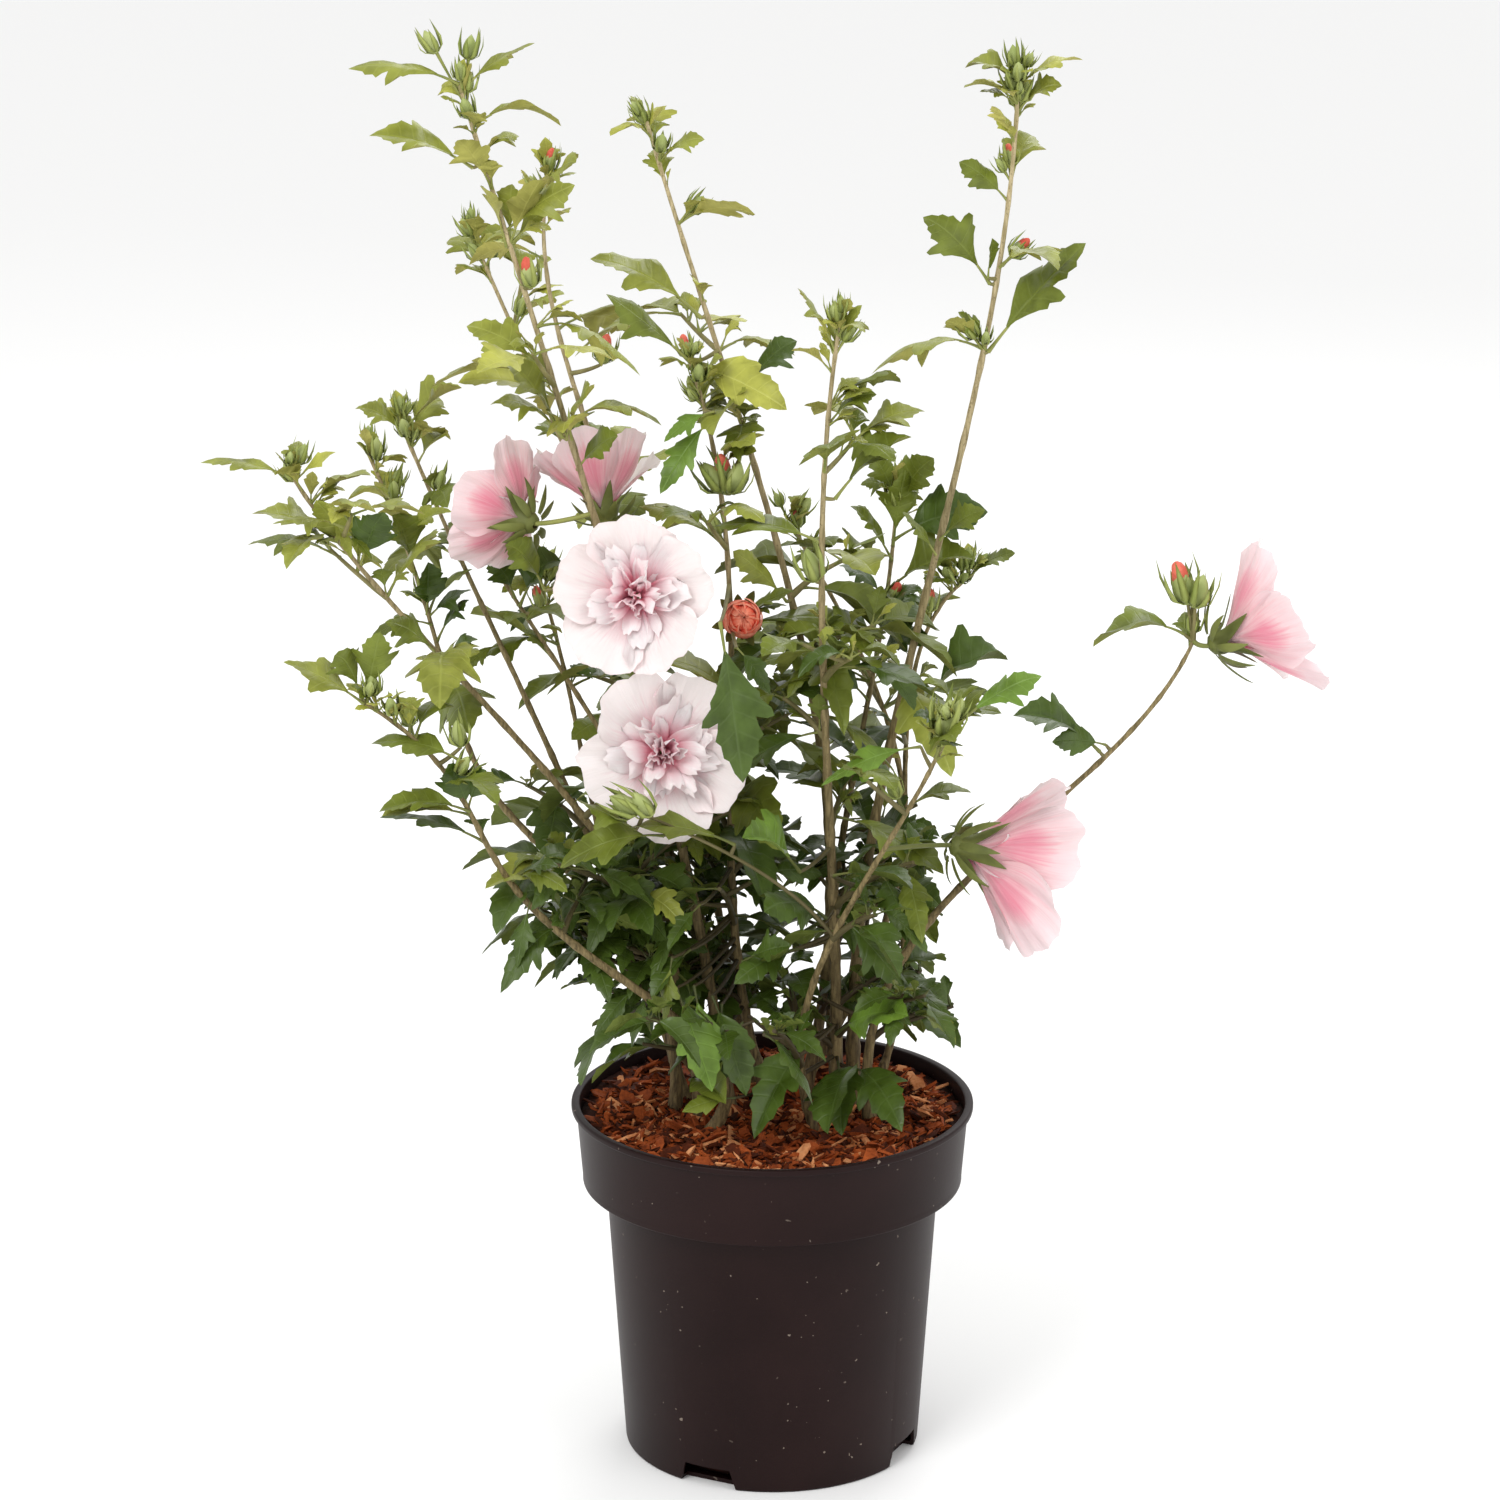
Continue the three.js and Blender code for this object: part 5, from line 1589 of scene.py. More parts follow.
# buds with a place of their own: what they grow on, foot, tip, and whether the petals show
featureBuds = (
    ("far_right", (1188, 604, -21), (1177, 566, -21), 1),
    ("far_right", (1195, 608, -26), (1204, 574, -26), 0),
    ("far_right", (1192, 606, -14), (1192, 578, -14), 0),
    ("middle", (727, 494, 18), (721, 458, 18), 1),
    ("middle", (730, 494, 12), (741, 462, 12), 0),
    ("middle", (722, 492, 16), (703, 462, 16), 0),
    ("tall_left", (532, 288, -24), (526, 260, -24), 1),
    ("second_left", (602, 364, 104), (607, 337, 104), 1),
    ("inner_left", (541, 608, 60), (536, 588, 60), 1),
    ("low_left", (461, 747, -110), (456, 720, -110), 0),
    ("front_right", (943, 738, -139), (951, 699, -139), 0),
    ("front", (816, 582, -38), (806, 548, -38), 0),
    ("spray", (640, 812, -106), (609, 796, -106), 0),
    ("spray", (652, 816, -108), (632, 792, -108), 0),
)


# everything that grows is gathered here: leaves, lines of tubes, and buds
class Plant:
    def __init__(self, paths):
        self.leaves = []
        self.tubes = {"canes": [], "twigs": [], "stalks": []}
        self.buds = []
        self.keepOut = [self.clearing(bloom) for bloom in (*blooms.values(), rosette)]
        self.views = [(*span, paths[name].line(0, 1, 120)) for name, span in openings.items()]

    def clearing(self, bloom):
        base = np.array(bloom["base"], float)
        axis = unit(np.array(bloom["facing"], float))
        radius = bloom["radius"]
        depth = bloom.get("depth", 2 * radius)
        return base, axis, radius, depth, bloom.get("clearing", radius * clearance["share"])

    def crowdsBloom(self, points):
        for base, axis, radius, depth, clearing in self.keepOut:
            offset = points - base
            along = offset @ axis
            out = np.linalg.norm(offset - along[:, None] * axis, axis=1)
            opening = clearance["side"] + radius * np.clip(along / depth, 0, 1) ** 0.8
            inside = (along > clearance["side"]) & (along < depth + clearance["mouth"])
            if np.any(inside & (out < opening)):
                return True
            offset = points - base - axis * depth * 0.6
            nearer = -offset[:, 1]
            apart = np.hypot(offset[:, 0], offset[:, 2] - outlook * nearer)
            if np.any((nearer > 0) & (nearer < clearance["view"]) & (apart < clearing)):
                return True
        return False

    def hidesCane(self, points):
        for low, high, half, line in self.views:
            behind = np.interp(points[:, 2], line[:, 2], line[:, 1])
            seen = points[:, 2] - outlook * (behind - points[:, 1])
            middle = np.interp(seen, line[:, 2], line[:, 0])
            close = (np.abs(points[:, 0] - middle) < half) & (points[:, 1] < behind)
            if np.any(close & (seen > low) & (seen < high)):
                return True
        return False

    def tube(self, kind, points, girths):
        self.tubes[kind].append((np.asarray(points, float), np.asarray(girths, float)))

    # a placed leaf always stays, any other only where it is in nothing's way
    def leaf(self, leaf, draw, style, placed=False):
        rootedLeaf(leaf, draw)
        ends = alongLeaf(leaf, np.linspace(0.3, 1, 5))
        across, _, height = ends[-1]
        beyond = across > finer["lowRight"] and height < finer["lowTop"] or height < finer["overSoil"]
        if not placed and (beyond or self.crowdsBloom(ends) or self.hidesCane(ends)):
            return
        leaf["style"] = style
        leaf["chance"] = draw()
        self.leaves.append(leaf)
        girth = leafForm["stalkGirth"] * math.sqrt(leaf["length"] / 70)
        line = alongLeaf(leaf, np.linspace(0, leafForm["stalk"] + 0.02, 4))
        self.tube("stalks", line, np.array(twigForm["leafStalk"]) * girth)

    def bud(self, bud, draw):
        aim = heading(bud["bearing"], bud["rise"])
        length = bud["length"]
        if self.crowdsBloom(bud["root"] + aim * np.array((0.5, 1))[:, None] * length):
            return
        size = min(length * budPlan["share"], budPlan["longest"])
        foot = bud["root"] + aim * (length - size * budPlan["petals"][-1][1])
        self.tube("stalks", [bud["root"], mix(bud["root"], foot, 0.6), foot + aim], budPlan["stalk"])
        self.buds.append((foot, aim, size, fullTurn * draw(), draw()))

    def spur(self, leaf, draw):
        low, high = finer["spurLeaves"]
        for _ in range(low + int((high - low + 1) * draw())):
            bearing = leaf["bearing"] + finer["spurSpread"] * (draw() - 0.5)
            rise = mix(*finer["spurRise"], draw())
            root = leaf["root"] + heading(bearing, rise) * mix(*finer["spurOut"], draw())
            self.tube("stalks", [leaf["root"], root], twigForm["spurStalk"])
            size = leaf["length"] * mix(*finer["spurSize"], draw())
            small = sprout("leaf", root, bearing, rise, size, finer["spurRoll"] * (draw() - 0.5))
            small["low"] = leaf["low"]
            self.leaf(small, draw, "young" if size < finer["youngSpur"] else "lobed")

    def grownLeaf(self, leaf, draw, low):
        leaf["low"] = low
        placed = leaf.get("placed", False)
        if not placed:
            above = leaf["root"][2] > finer["lowTop"]
            leaf["length"] *= finer["grown"] if above else (finer["lowSize"] if low else 1)
        style = "young"
        if leaf["length"] >= leafForm["youngLength"]:
            style = "broad" if draw() < finer["broadShare"] and low else "lobed"
        self.leaf(leaf, draw, style, placed)
        if draw() < finer["spurs"][low]:
            self.spur(leaf, draw)

    # takes in what a rule gave: leaves, buds, and twigs with leaves of their own
    def dress(self, found, draw, low):
        chance, turn, share = finer["extraBud"]
        for item in found:
            if item["kind"] == "leaf":
                self.grownLeaf(item, draw, low)
            elif item["kind"] == "bud":
                self.bud(item, draw)
                if draw() < chance:
                    second = dict(item, bearing=item["bearing"] + turn, length=item["length"] * share)
                    self.bud(second, draw)
            else:
                sagging = mix(item["root"], item["tip"], 0.5) - np.array((0, 0, twigForm["sag"]))
                line = BentPath((item["root"], sagging, item["tip"])).line(0, 1, 6)
                self.tube("twigs", line, np.linspace(*twigForm["ruled"], 6))
                self.dress(item["grows"], draw, low)

    def tipCluster(self, path, draw):
        def dealt(key):
            least, more = tipForm[key]
            return least + more * draw()

        place, step = tipForm["leafPlace"]
        for i in range(finer["tipLeaves"]):
            bearing = 360 * draw()
            rise = dealt("leafRise")
            length = dealt("leafLength")
            roll = tipForm["leafRoll"] * (draw() - 0.5)
            self.leaf(sprout("leaf", path.at(place - step * i), bearing, rise, length, roll), draw, "young")
        place, step = tipForm["budPlace"]
        for i in range(finer["tipBuds"]):
            bearing = 360 * draw()
            rise = dealt("budRise")
            self.bud(sprout("bud", path.at(place - step * i), bearing, rise, dealt("budLength")), draw)


# the point at a depth of y mm that stands at a place of the camera's frame
def seenAt(across, down, y):
    pitch = math.radians(cameraPlan["pitch"])
    far = frameSteps / 2 / math.tan(math.radians(cameraPlan["viewAngle"] / 2))
    aside = (across - frameSteps / 2) / far
    above = (frameSteps / 2 - down) / far
    lean = (math.cos(pitch) + above * math.sin(pitch), above * math.cos(pitch) - math.sin(pitch))
    eye = np.array(cameraPlan["at"])
    return eye + np.array((aside, *lean)) * (y - eye[1]) / lean[0]


# a thin shoot from a cane to the place where something grows
def addTwig(plant, path, root, girth):
    start = path.at(path.nearest(root))
    gap = np.linalg.norm(root - start)
    if gap > twigForm["shortest"]:
        place, sag = twigForm["added"]
        sagging = mix(start, root, place) - np.array((0, 0, sag * gap))
        line = BentPath((start, sagging, root)).line(0, 1, 8)
        plant.tube("twigs", line, np.linspace(girth, girth * twigForm["thinner"], 8))


def growFeatures(plant, paths):
    draw = seededRandom(featureSeed)
    for name, points in sprays.items():
        paths[name] = BentPath(points)
        plant.tube("twigs", paths[name].line(0, 1, 24), np.linspace(*twigForm["spray"], 24))
    for on, root, tip, droop, bearing, roll, style, tint in features:
        root = seenAt(*root)
        addTwig(plant, paths[on], root, twigForm["leafTwig"])
        leaf = {"root": root, "tip": seenAt(*tip), "droop": droop, "bearing": bearing}
        leaf.update({"roll": roll, "tint": tint})
        plant.leaf(leaf, draw, style, True)
    for on, foot, tip, coral in featureBuds:
        foot = seenAt(*foot)
        addTwig(plant, paths[on], foot, twigForm["budTwig"])
        aim = seenAt(*tip) - foot
        size = np.linalg.norm(aim)
        plant.buds.append((foot, aim / size, size, fullTurn * draw(), 1 - coral))


# a cane's own girths: thick at its foot, swollen at its joints
def caneGirths(stem):
    form = caneForm
    places = np.linspace(0, 1, form["places"])
    girths = np.array([caneRadius(stem, place) for place in places])
    girths *= 1 - form["thinner"] * places
    swelling, width = form["swelling"]
    for joint in np.arange(form["firstJoint"], 1, form["joint"]):
        girths *= 1 + swelling * np.exp(-(((places - joint) / width) ** 2))
    return girths


def growCane(plant, name, stem, path):
    draw = seededRandom(stem["seed"] + seedShift["own"])
    entry = path.atHeight(stem["leafyFrom"])
    plant.tube("canes", path.line(0, 1, caneForm["places"]), caneGirths(stem))
    own = []
    for kind, places in (("leaf", stem["leaves"]), ("bud", stem["buds"])):
        for height, bearing, rise, length in places:
            root = path.at(min(path.atHeight(height), 1))
            own.append(dict(sprout(kind, root, bearing, rise, length), placed=True))
    spans = bare.get(name, ())
    for item in growth(path, entry, habit["stem"], stem["seed"]):
        if not any(low < item["root"][2] < high for low, high in spans):
            own.append(item)
    plant.dress(own, draw, False)
    plant.tipCluster(path, draw)


def growBloomStalk(plant, path, bloom):
    base = np.array(bloom["base"], float)
    start = path.at(path.nearest(base))
    axis = unit(np.array(bloom["facing"], float))
    line = BentPath((start, mix(start, base, 0.6) - axis * 4, base, base + axis * 5)).line(0, 1, 9)
    girth = flower["stalkGirth"]
    plant.tube("stalks", line, np.linspace(girth * 1.1, girth, 9))


def growPlant():
    paths = {}
    for name, stem in stems.items():
        paths[name] = BentPath([(*stem["foot"], ground - 4), *stem["handles"], stem["top"]])
    plant = Plant(paths)
    for name, stem in stems.items():
        growCane(plant, name, stem, paths[name])
    for on, height, towards, reach, seed in shoots:
        growShoot(plant, paths[on], stems[on], height, towards, reach, seed, habit["shoot"])
    growThickets(plant, paths)
    growFeatures(plant, paths)
    for bloom in (*blooms.values(), rosette):
        growBloomStalk(plant, paths[bloom["on"]], bloom)
    return plant


def growShoot(plant, path, stem, height, towards, reach, seed, rule):
    startRise, rise = habit["shootRise"]
    out = heading(towards, startRise)
    place = path.atHeight(height)
    start = path.at(place) + out * caneRadius(stem, place) * 0.5
    level = heading(towards, rise)[0]
    if level > 0.1:
        furthest, least = finer["lowShoots"]
        reach = min(reach, max(furthest - start[0], least) / level)
    shoot = BentPath((start, start + out * reach * 0.5, start + heading(towards, rise) * reach))
    thick, thin = habit["shootRadius"]
    plant.tube("twigs", shoot.line(0, 1, 12), np.linspace(thick, thin * 0.7, 12))
    plant.dress(growth(shoot, 0, rule, seed), seededRandom(seed + seedShift["own"]), True)


def growThickets(plant, paths):
    f = finer
    full, outwards, upwards = f["thicketShare"]
    right, thinner = f["rightShare"]
    for name, stem in stems.items():
        draw = seededRandom(stem["seed"] + seedShift["thicket"])
        path = paths[name]
        height = f["thicketFrom"] + f["thicketStep"] * draw()
        while height < stem["leafyFrom"] - f["thicketUpTo"]:
            place = path.at(path.atHeight(height))
            towards = 360 * draw()
            reach = mix(*f["thicketReach"], draw())
            density = full - abs(place[0]) / outwards - max(0, height - f["lowTop"]) / upwards
            if place[0] > right:
                density *= thinner
            seed = int(stem["seed"] * 1000 + height)
            if draw() < density:
                growShoot(plant, path, stem, height, towards, reach, seed, f["rule"])
            height += f["thicketStep"] * (0.6 + 0.8 * draw())


# colours of a leaf's face and back, and how glossy its face is
leafTints = {
    "deep": {"face": (0.049, 0.084, 0.007), "back": (0.098, 0.125, 0.02), "gloss": 0.32},
    "mid": {"face": (0.122, 0.152, 0.014), "back": (0.17, 0.187, 0.034), "gloss": 0.28},
    "green": {"face": (0.115, 0.2, 0.02), "back": (0.18, 0.25, 0.05), "gloss": 0.3},
    "fresh": {"face": (0.222, 0.244, 0.034), "back": (0.31, 0.3, 0.07), "gloss": 0.26},
    "tip": {"face": (0.35, 0.358, 0.06), "back": (0.4, 0.375, 0.1), "gloss": 0.2},
}
# tints up to a height, each with the chance up to which it is dealt; the foot of the plant is the darkest
tintSteps = (
    (440, ("deep", 0.9), ("mid", 1)),
    (600, ("mid", 0.66), ("deep", 0.95), ("fresh", 1)),
    (780, ("fresh", 0.55), ("mid", 1)),
    (math.inf, ("fresh", 0.7), ("tip", 1)),
)
youngTints = (520, ("fresh", 0.35), ("tip", 1))  # for young leaves, from this height up
paintedLeftLight = 0.4  # painted light: the crown is paler towards the left, the side the lamp lights
tintSpread = 60  # how far up or down chance moves a leaf in that table


def tintOf(leaf):
    if "tint" in leaf:
        return leaf["tint"]
    chance = leaf["chance"]
    height = leaf["root"][2] + tintSpread * (chance - 0.5)
    if height > finer["lowTop"]:
        # painted light: leaves further left are dealt the paler tints of a lit side
        height += paintedLeftLight * max(0, -leaf["root"][0])
    youngFrom, *shares = youngTints
    if leaf["style"] != "young" or height <= youngFrom:
        shares = next(step[1:] for step in tintSteps if height < step[0])
    return next(tint for tint, upTo in shares if chance < upTo)


def buildLeaves(plant, finishes):
    templates = {name: leafTemplate(outline) for name, outline in leafOutlines.items()}
    piles = {tint: Pile() for tint in leafTints}
    rim = potPlan["rimRadius"] + 2
    top = potPlan["height"] + 4
    slope = 0.25
    for leaf in plant.leaves:
        template, faces, under = templates[leaf["style"]]
        points, surface = leafPoints(leaf, template)
        # over the pot a leaf that hangs low comes to lie nearly level
        low = (np.hypot(points[:, 0], points[:, 1]) < rim) & (points[:, 2] < top)
        points[low, 2] = top - slope * (top - points[low, 2])
        kinds = [np.array(part) for part in under]
        piles[tintOf(leaf)].put(points, faces, surface, kinds)
    nodes = nodesNamed("foliage_", "low_foliage_")
    for tint, pile in piles.items():
        if pile.count:
            mesh = pile.mesh("leaves_" + tint, finishes[tint], leafForm["crease"])
            finished("leaves_" + tint, mesh, "leaf", nodes)
    print(len(plant.leaves), "leaves")


# one number for each point of a mesh that is only points and edges
def pointValues(mesh, name, values):
    mesh.attributes.new(name, "FLOAT", "POINT").data.foreach_set("value", values)


def buildTubes(plant, tree, finishes):
    # sides, relief and its scale, then the slot and the nodes that they stand for
    plans = {
        "canes": (14, 0.34, 260.0, "bark", nodesNamed("stem_")),
        "twigs": (8, 0.2, 300.0, "bark", nodesNamed("foliage_", "low_foliage_")),
        "stalks": (5, 0.0, 100.0, "leaf", nodesNamed("foliage_", "low_foliage_")),
    }
    for kind, (sides, relief, scale, slot, nodes) in plans.items():
        lines = plant.tubes[kind]
        mesh = bpy.data.meshes.new(kind)
        points = np.concatenate([line for line, _ in lines]) * mm
        edges = []
        count = 0
        for line, _ in lines:
            edges += [(count + i, count + i + 1) for i in range(len(line) - 1)]
            count += len(line)
        mesh.from_pydata([tuple(point) for point in points], edges, [])
        pointValues(mesh, "girth", np.concatenate([girths for _, girths in lines]) * mm)
        inputs = {"Sides": sides, "Relief": relief, "Relief Scale": scale, "Finish": finishes[kind]}
        finished(kind, grown(kind, mesh, tree, inputs), slot, nodes)


def budCup():
    def ribbed(rings):
        rings[:, ::2, :2] *= 0.9
        return rings

    return lathe(budPlan["cup"], budPlan["sides"], ribbed)


def budPetals():
    def swirled(rings):
        for i, ring in enumerate(rings):
            turn = 0.28 * i
            x = ring[:, 0].copy()
            ring[:, 0] = x * math.cos(turn) - ring[:, 1] * math.sin(turn)
            ring[:, 1] = x * math.sin(turn) + ring[:, 1] * math.cos(turn)
            ring[::2, :2] *= 0.8
        return rings

    return lathe(budPlan["petals"], budPlan["sides"], swirled)


# a bract is a three-sided spike that leaves the bud and turns up along it
def budBract(number):
    angle = fullTurn * number / budPlan["bracts"]
    out = np.array((math.cos(angle), math.sin(angle), 0))
    side = np.array((-math.sin(angle), math.cos(angle), 0))
    up = np.array((0, 0, 1.0))
    tall = 1.02 + 0.32 * math.sin(2.4 * number)
    line = [out * 0.1 + up * 0.03, out * 0.36 + up * 0.2, out * 0.47 + up * 0.6 * tall]
    points = []
    for place, width in zip(line, budPlan["bractWidths"]):
        points += [place + side * width, place + out * 0.04, place - side * width]
    points.append(out * 0.46 + up * tall)
    faces = []
    for ring in (0, 3):
        for k in range(3):
            after = (k + 1) % 3
            faces.append((ring + k, ring + after, ring + 3 + after, ring + 3 + k))
    ends = [(0, 2, 1), (6, 7, 9), (7, 8, 9), (8, 6, 9)]
    return points, [faces, ends], [(0, 0)] * len(points)


def budTemplates():
    parts = {
        "bud_cups": [budCup()],
        "bud_bracts": [budBract(number) for number in range(budPlan["bracts"])],
        "bud_tips": [budPetals()],
    }
    piles = {}
    for name, meshes in parts.items():
        piles[name] = Pile()
        for mesh in meshes:
            piles[name].put(*mesh)
    return piles


def buildBuds(plant, tree, finishes):
    nodes = nodesNamed("foliage_")
    for name, pile in budTemplates().items():
        copy = bpy.data.objects.new(name + "_one", pile.mesh(name + "_one", []))
        copy.data.transform(((mm**-1, 0, 0, 0), (0, mm**-1, 0, 0), (0, 0, mm**-1, 0), (0, 0, 0, 1)))
        shown = [bud for bud in plant.buds if name != "bud_tips" or bud[4] < budPlan["coral"]]
        mesh = bpy.data.meshes.new(name)
        mesh.from_pydata([tuple(bud[0] * mm) for bud in shown], [], [])
        aim = mesh.attributes.new("aim", "FLOAT_VECTOR", "POINT")
        aim.data.foreach_set("vector", np.concatenate([bud[1] for bud in shown]))
        pointValues(mesh, "size", [bud[2] * mm for bud in shown])
        pointValues(mesh, "spin", [bud[3] for bud in shown])
        made = grown(name, mesh, tree, {"Copy": copy, "Finish": finishes[name]})
        finished(name, made, "petal" if name == "bud_tips" else "leaf", nodes)
        bpy.data.objects.remove(copy)
    print(len(plant.buds), "buds")
# looks: scales of noise by the metre, shares (By) with which noises are added up, levels (Over) from
# which one counts, with the width over which it rises, and the relief's depth in metres and strength
plasticLook = {
    "roughness": 0.42,
    "gloss": 0.14,
    "cloud": 9,
    "patch": 26,
    "speck": 230,
    "fine": 900,
    "speckOver": 0.75,
    "patchOver": (0.46, 0.12),
    "stops": ((0.35, (0.0096, 0.0026, 0.0024)), (0.7, (0.0155, 0.0054, 0.005))),
    "dust": (0.33, 0.27, 0.22),
    "dustShare": 0.55,
    "roughBy": (0.37, 0.12, 0.05, 0.3),  # at least, and by cloud, fine grain and dust
    "reliefBy": (0.4, 0.6),  # by fine grain and cloud
    "relief": (0.0004, 0.35),
}


def plasticFinish():
    look = plasticLook
    f = Finish("potPlastic", look["roughness"], look["gloss"])
    cloud = f.noise(f.place, look["cloud"], 4)
    fine = f.noise(f.place, look["fine"], 2)
    speck = f.noise(f.place, look["speck"], 1) > look["speckOver"]
    patch = f.noise(f.place, look["patch"], 2).over(*look["patchOver"])
    dust = speck * patch
    f.colour(f.mixed(dust * look["dustShare"], f.ramp(cloud, *look["stops"]), look["dust"]))
    least, byCloud, byFine, byDust = look["roughBy"]
    f.feed("Roughness", least + cloud * byCloud + fine * byFine + dust * byDust)
    byFine, byCloud = look["reliefBy"]
    f.bump(fine * byFine + cloud * byCloud, *look["relief"])
    return f.material


chipLook = {
    "gloss": 0.14,
    "broad": 62,
    "grain": 420,
    "toneBy": (0.65, 0.35),
    "toneOver": (0.32, 0.38),
    "relief": (0.0012, 0.6),
}


def chipFinish(name, dark, light, roughness):
    look = chipLook
    f = Finish(name, roughness, look["gloss"])
    broad = f.noise(f.place, look["broad"], 3)
    grain = f.noise(f.place, look["grain"], 3)
    byBroad, byGrain = look["toneBy"]
    tone = (broad * byBroad + grain * byGrain).over(*look["toneOver"])
    f.colour(f.mixed(tone, dark, light))
    f.bump(grain, *look["relief"])
    return f.material


# the canes are dark and brown at their foot and through their middle heights, and pale and tan towards
# their tips
barkLook = {
    "roughness": 0.68,
    "gloss": 0.3,
    "streak": 520,
    "stretch": 0.12,  # the streaks run along the cane
    "patch": 34,
    "pore": 640,
    "poreOver": 0.66,
    "poreShare": 0.4,
    "heights": (0.25, 0.95),  # metres over the ground between which the colours change
    "heightBy": 0.16,
    "toneOver": (0.3, 0.4),
    "places": (0, 0.4, 0.95),
    "dark": ((0.05, 0.032, 0.013), (0.104, 0.08, 0.028), (0.29, 0.228, 0.108)),
    "light": ((0.27, 0.195, 0.085), (0.3, 0.232, 0.108), (0.61, 0.51, 0.31)),
    "poreColour": (0.07, 0.045, 0.02),
    "roughBy": (0.6, 0.2),
    "reliefBy": (0.7, 0.3, 0.3),  # by streaks, patches and pores
    "relief": (0.0006, 0.7),
}


def barkFinish():
    look = barkLook
    f = Finish("caneBark", look["roughness"], look["gloss"])
    rise = f.parts(f.place)[2]
    stretched = f.add("ShaderNodeMapping", {}, {"Vector": f.place, "Scale": (1, 1, look["stretch"])})
    streak = f.noise(stretched, look["streak"], 3)
    patch = f.noise(f.place, look["patch"], 3)
    pore = f.noise(f.place, look["pore"], 1) > look["poreOver"]
    height = (rise + (patch - 0.5) * look["heightBy"]).clamped(*look["heights"])
    dark, light = (f.ramp(height, *zip(look["places"], look[key])) for key in ("dark", "light"))
    tone = f.mixed(streak.over(*look["toneOver"]), dark, light)
    f.colour(f.mixed(pore * look["poreShare"], tone, look["poreColour"]))
    least, byStreak = look["roughBy"]
    f.feed("Roughness", least + streak * byStreak)
    byStreak, byPatch, byPore = look["reliefBy"]
    f.bump(streak * byStreak + patch * byPatch + pore * byPore, *look["relief"])
    return f.material


greenLook = {
    "gloss": 0.3,
    "broad": 45,
    "fine": 800,
    "toneOver": (0.3, 0.4),
    "heights": (0.34, 0.66),  # metres over the ground between which the colour of the foot fades out
    "relief": (0.0003, 0.4),
}


def greenFinish(name, low, high, roughness, foot=None):
    look = greenLook
    f = Finish(name, roughness, look["gloss"])
    tone = f.noise(f.place, look["broad"], 3)
    shade = f.mixed(tone.over(*look["toneOver"]), low, high)
    if foot:
        rise = f.parts(f.place)[2].clamped(*look["heights"])
        shade = f.mixed(rise, foot, shade)
    f.colour(shade)
    f.bump(f.noise(f.place, look["fine"], 2), *look["relief"])
    return f.material


# pairs of values are for a leaf's back and its face
leafLook = {
    "roughness": (0.6, 0.4),
    "backGloss": 0.12,
    "midrib": 0.016,  # half its width
    "veins": 6.5,
    "veinOver": (0.86, 0.14),
    "veinShare": 0.45,
    "ribShare": (0.35, 0.5),
    "mottle": 55,
    "mottleOver": (0.32, 0.36),
    "dark": (0.78, 0),  # darker, lighter and paler than the tint: times this, and this added
    "light": (1.3, 0.008),
    "pale": (1.5, 0.03),
    "roughFrom": (0.56, 0.34),
    "roughBy": (0.2, 0.16),  # less by a face's gloss, more by its mottling
    "ribRelief": (0.6, -0.6),
    "fine": 300,
    "fineRelief": 0.35,
    "relief": (0.0008, 0.6),
}


# the veins run from the midrib at a slant, sunk in the face and raised on the back
def leafFinish(name, base, face, gloss):
    def shaded(key):
        times, more = look[key]
        return tuple(min(1.0, times * c + more) for c in base)

    look = leafLook
    f = Finish(name, look["roughness"][face], gloss if face else look["backGloss"])
    along, across, _ = f.parts(f.own())
    side = f.add("ShaderNodeMath", {"operation": "ABSOLUTE"}, {0: across - 0.5})
    midrib = 1 - (side / look["midrib"]).clamped()
    slant = along - leafForm["veinSlant"] * side
    vein = (slant * 2 * math.pi * look["veins"]).waved().over(*look["veinOver"])
    ribs = f.add("ShaderNodeMath", {"operation": "MAXIMUM"}, {0: midrib, 1: vein * look["veinShare"]})
    mottle = f.noise(f.place, look["mottle"], 3)
    tone = f.mixed(mottle.over(*look["mottleOver"]), shaded("dark"), shaded("light"))
    f.colour(f.mixed(ribs * look["ribShare"][face], tone, shaded("pale")))
    byGloss, byMottle = look["roughBy"]
    f.feed("Roughness", look["roughFrom"][face] - byGloss * gloss * face + mottle * byMottle)
    fine = f.noise(f.place, look["fine"], 2)
    f.bump(ribs * look["ribRelief"][face] + fine * look["fineRelief"], *look["relief"])
    return f.material


petalLook = {
    "roughness": 0.58,
    "gloss": 0.25,
    "sheen": 0.1,
    "glowReach": (1.0, 0.75, 0.75),  # for red, green and blue
    "glowDepth": 0.01,
    "streaks": (1.6, 24),  # scales along the petal and across it
    "veins": (1.1, 60),
    "ripples": (1.2, 46),
    "cloud": 38,
    "shiftBy": (0.34, 0.16),  # how far streaks and clouds move the colours along the petal
    "streakOver": (0.5, 0.2),
    "flameAt": 0.45,
    "flameReach": 0.34,
    "flameNarrow": 2.4,
    "flameBy": (1.3, 0.6),
    "deep": (0.72, 0.17, 0.25),
    "rayOver": (0.53, 0.1),
    "rayFade": (0.1, 0.9),
    "rayShare": 0.5,
    "relief": (0.0009, 0.5),
}


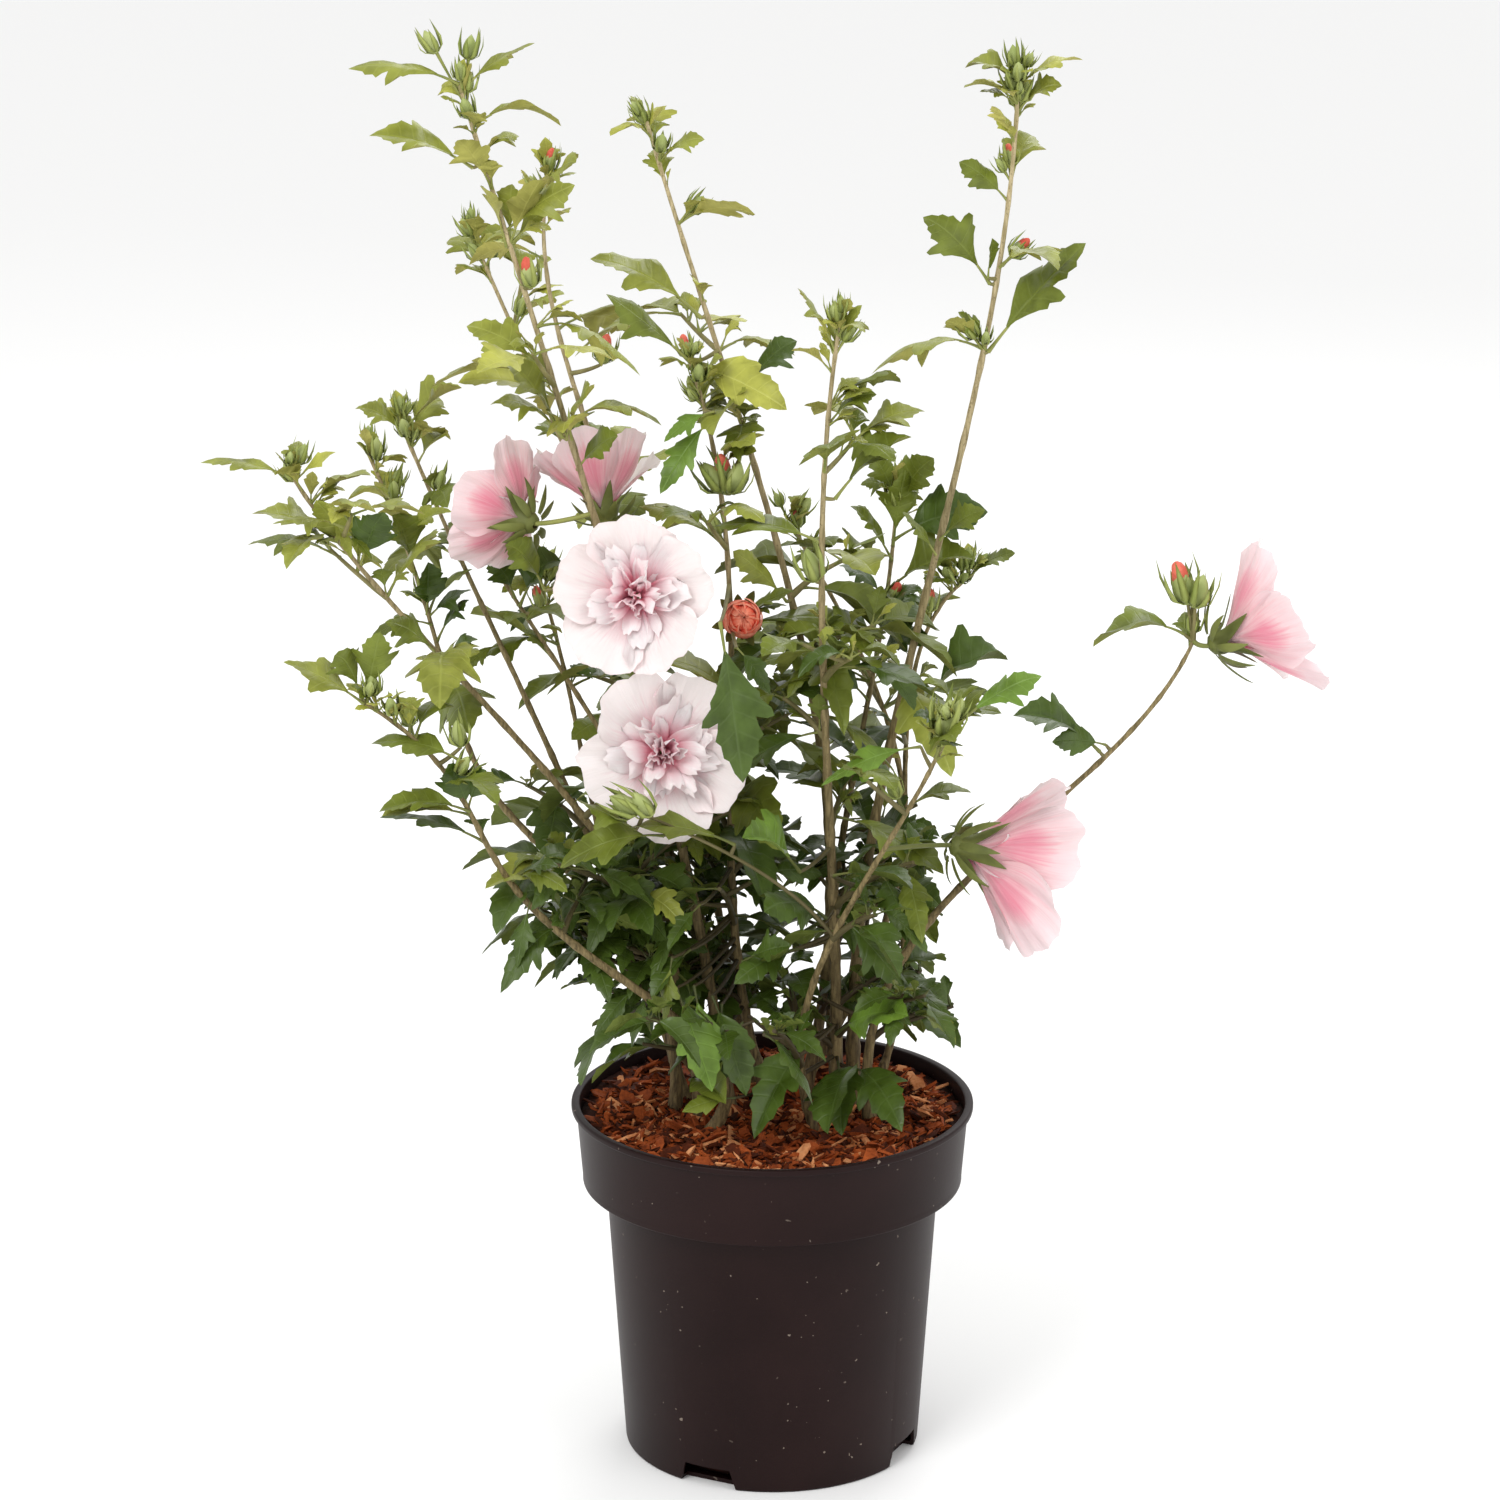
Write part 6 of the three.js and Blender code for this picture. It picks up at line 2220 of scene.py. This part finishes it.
# a petal's colours run from its foot to its edge, glow is how much light it lets through, and flame
# is how strong the deep patch is that lies along its middle
def petalFinish(name, stops, streakStops, glow, flame=0.0):
    look = petalLook
    fixed = {
        "Sheen Weight": look["sheen"],
        "Subsurface Weight": glow,
        "Subsurface Radius": look["glowReach"],
        "Subsurface Scale": look["glowDepth"],
    }
    f = Finish(name, look["roughness"], look["gloss"], fixed)
    along, across, _ = f.parts(f.own())
    streak = f.noise(f.own(*look["streaks"]), 1.0, 3)
    cloud = f.noise(f.place, look["cloud"], 2)
    byStreak, byCloud = look["shiftBy"]
    shifted = along + (streak - 0.5) * byStreak + (cloud - 0.5) * byCloud
    base = f.ramp(shifted, *stops)
    lines = f.ramp(shifted, *streakStops)
    tone = f.mixed(streak.over(*look["streakOver"]), base, lines)
    if flame:
        share = f.add("ShaderNodeMath", {"operation": "FRACT"}, {0: across})
        off = (share - 0.5) * 2.0
        reach = (along - look["flameAt"]) / look["flameReach"]
        byStreak, byCloud = look["flameBy"]
        ragged = (streak - 0.5) * byStreak + (cloud - 0.5) * byCloud
        patch = (1 - reach * reach - off * off * look["flameNarrow"] + ragged).clamped(0, 1)
        tone = f.mixed(patch * flame, tone, look["deep"])
        vein = f.noise(f.own(*look["veins"]), 1.0, 2)
        rays = vein.over(*look["rayOver"]) * (1 - along).clamped(*look["rayFade"])
        tone = f.mixed(rays * look["rayShare"], tone, look["deep"])
    f.colour(tone)
    f.bump(f.noise(f.own(*look["ripples"]), 1.0, 2), *look["relief"])
    return f.material


def petalFinishes():
    white = (0.94, 0.82, 0.815)
    pale = (0.86, 0.61, 0.64)
    pink = (0.85, 0.4, 0.455)
    rose = (0.75, 0.13, 0.2)
    blush = (0.82, 0.47, 0.5)
    # fold is the deep pink at the feet of the inner petals, deep in the flower: partly their own colour,
    # partly painted rosy light in the shaded folds
    fold = (0.93, 0.3, 0.4)
    blossom = (0.94, 0.76, 0.78)
    cream = (0.95, 0.87, 0.87)
    inside = (
        ((0, rose), (0.12, rose), (0.25, pink), (0.4, pale), (0.58, white), (1, white)),
        ((0, rose), (0.18, rose), (0.34, pink), (0.56, pale), (0.84, white), (1, white)),
    )
    outside = (
        ((0, pale), (0.2, blush), (0.5, blush), (0.78, (0.8, 0.55, 0.58)), (1, (0.82, 0.64, 0.66))),
        ((0, blush), (0.3, pink), (0.6, pink), (0.85, blush), (1, pale)),
    )
    petaloid = (
        ((0, fold), (0.2, fold), (0.36, (0.95, 0.6, 0.65)), (0.54, blossom), (0.74, cream)),
        ((0, fold), (0.28, fold), (0.48, (0.95, 0.56, 0.62)), (0.74, blossom), (1, cream)),
    )
    # the rosette bud's coral runs from darkest at each petal's foot, in its folds, to lightest at its end:
    # painted shade in the folds and a painted highlight on the rolled rims, over the bud's own coral
    coralShadeToHighlight = ((0.42, 0.02, 0.01), (0.72, 0.06, 0.03), (0.9, 0.125, 0.062), (1.0, 0.36, 0.23))
    coralLinesShadeToHighlight = ((0.5, 0.03, 0.014), (0.8, 0.08, 0.04), (0.92, 0.16, 0.085), (1.0, 0.44, 0.3))
    coral = tuple(zip((0, 0.35, 0.7, 1), coralShadeToHighlight)), tuple(zip((0, 0.4, 0.75, 1), coralLinesShadeToHighlight))
    return [
        petalFinish("petalInside", *inside, 0.4),
        petalFinish("petalOutside", *outside, 0.2, 0.9),
        petalFinish("petaloid", *petaloid, 0.35),
        petalFinish("coralPetal", *coral, 0.0),
    ]


# name, dark colour, light colour and roughness, and for some the colour low on the plant
greens = {
    "twigs": ("greenWood", (0.15, 0.14, 0.045), (0.32, 0.28, 0.12), 0.6, (0.05, 0.036, 0.014)),
    "stalks": ("leafStalk", (0.16, 0.19, 0.04), (0.34, 0.35, 0.1), 0.55, (0.06, 0.07, 0.018)),
    "calyx": ("calyxGreen", (0.085, 0.1, 0.022), (0.19, 0.21, 0.05), 0.55),
    "bud_cups": ("budGreen", (0.26, 0.32, 0.085), (0.45, 0.5, 0.2), 0.6),
    "bud_bracts": ("bractGreen", (0.19, 0.24, 0.045), (0.35, 0.39, 0.11), 0.6),
}
chips = {
    "rust": ("rustBark", (0.12, 0.02, 0.004), (0.46, 0.1, 0.022), 0.72),
    "dark": ("darkBark", (0.018, 0.004, 0.0015), (0.14, 0.028, 0.008), 0.72),
    "pale": ("paleBark", (0.4, 0.12, 0.035), (0.84, 0.4, 0.18), 0.72),
}


def allFinishes():
    made = {
        "pot": plasticFinish(),
        # the soil bed under the chips is nearly black: partly the dark compost, partly painted shade in the
        # gaps between the chips
        "bed": chipFinish("soilBed", (0.01, 0.003, 0.0015), (0.05, 0.012, 0.005), 0.9),
        "chips": {kind: chipFinish(*look) for kind, look in chips.items()},
        "canes": barkFinish(),
    }
    made.update({kind: greenFinish(*look) for kind, look in greens.items()})
    made["bud_tips"] = chipFinish("coralTip", (0.56, 0.07, 0.045), (0.86, 0.22, 0.15), 0.55)
    made["petals"] = petalFinishes()
    made["leaves"] = {}
    for tint, plan in leafTints.items():
        faceFinish = leafFinish("leafFace_" + tint, plan["face"], True, plan["gloss"])
        backFinish = leafFinish("leafBack_" + tint, plan["back"], False, plan["gloss"])
        made["leaves"][tint] = [faceFinish, backFinish]
    return made


finishes = allFinishes()
tubeNodes = tubeTree()
copyNodes = copyTree()
chipNodes = chipTree()
buildPot(finishes["pot"])
buildSoil(finishes["bed"], finishes["chips"], chipNodes)
plant = growPlant()
buildLeaves(plant, finishes["leaves"])
buildTubes(plant, tubeNodes, finishes)
buildBuds(plant, copyNodes, finishes)
buildBlooms(finishes["petals"], finishes["calyx"])
for piece, slot, nodes in madePieces:
    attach(piece, "root")
    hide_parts(*nodes)
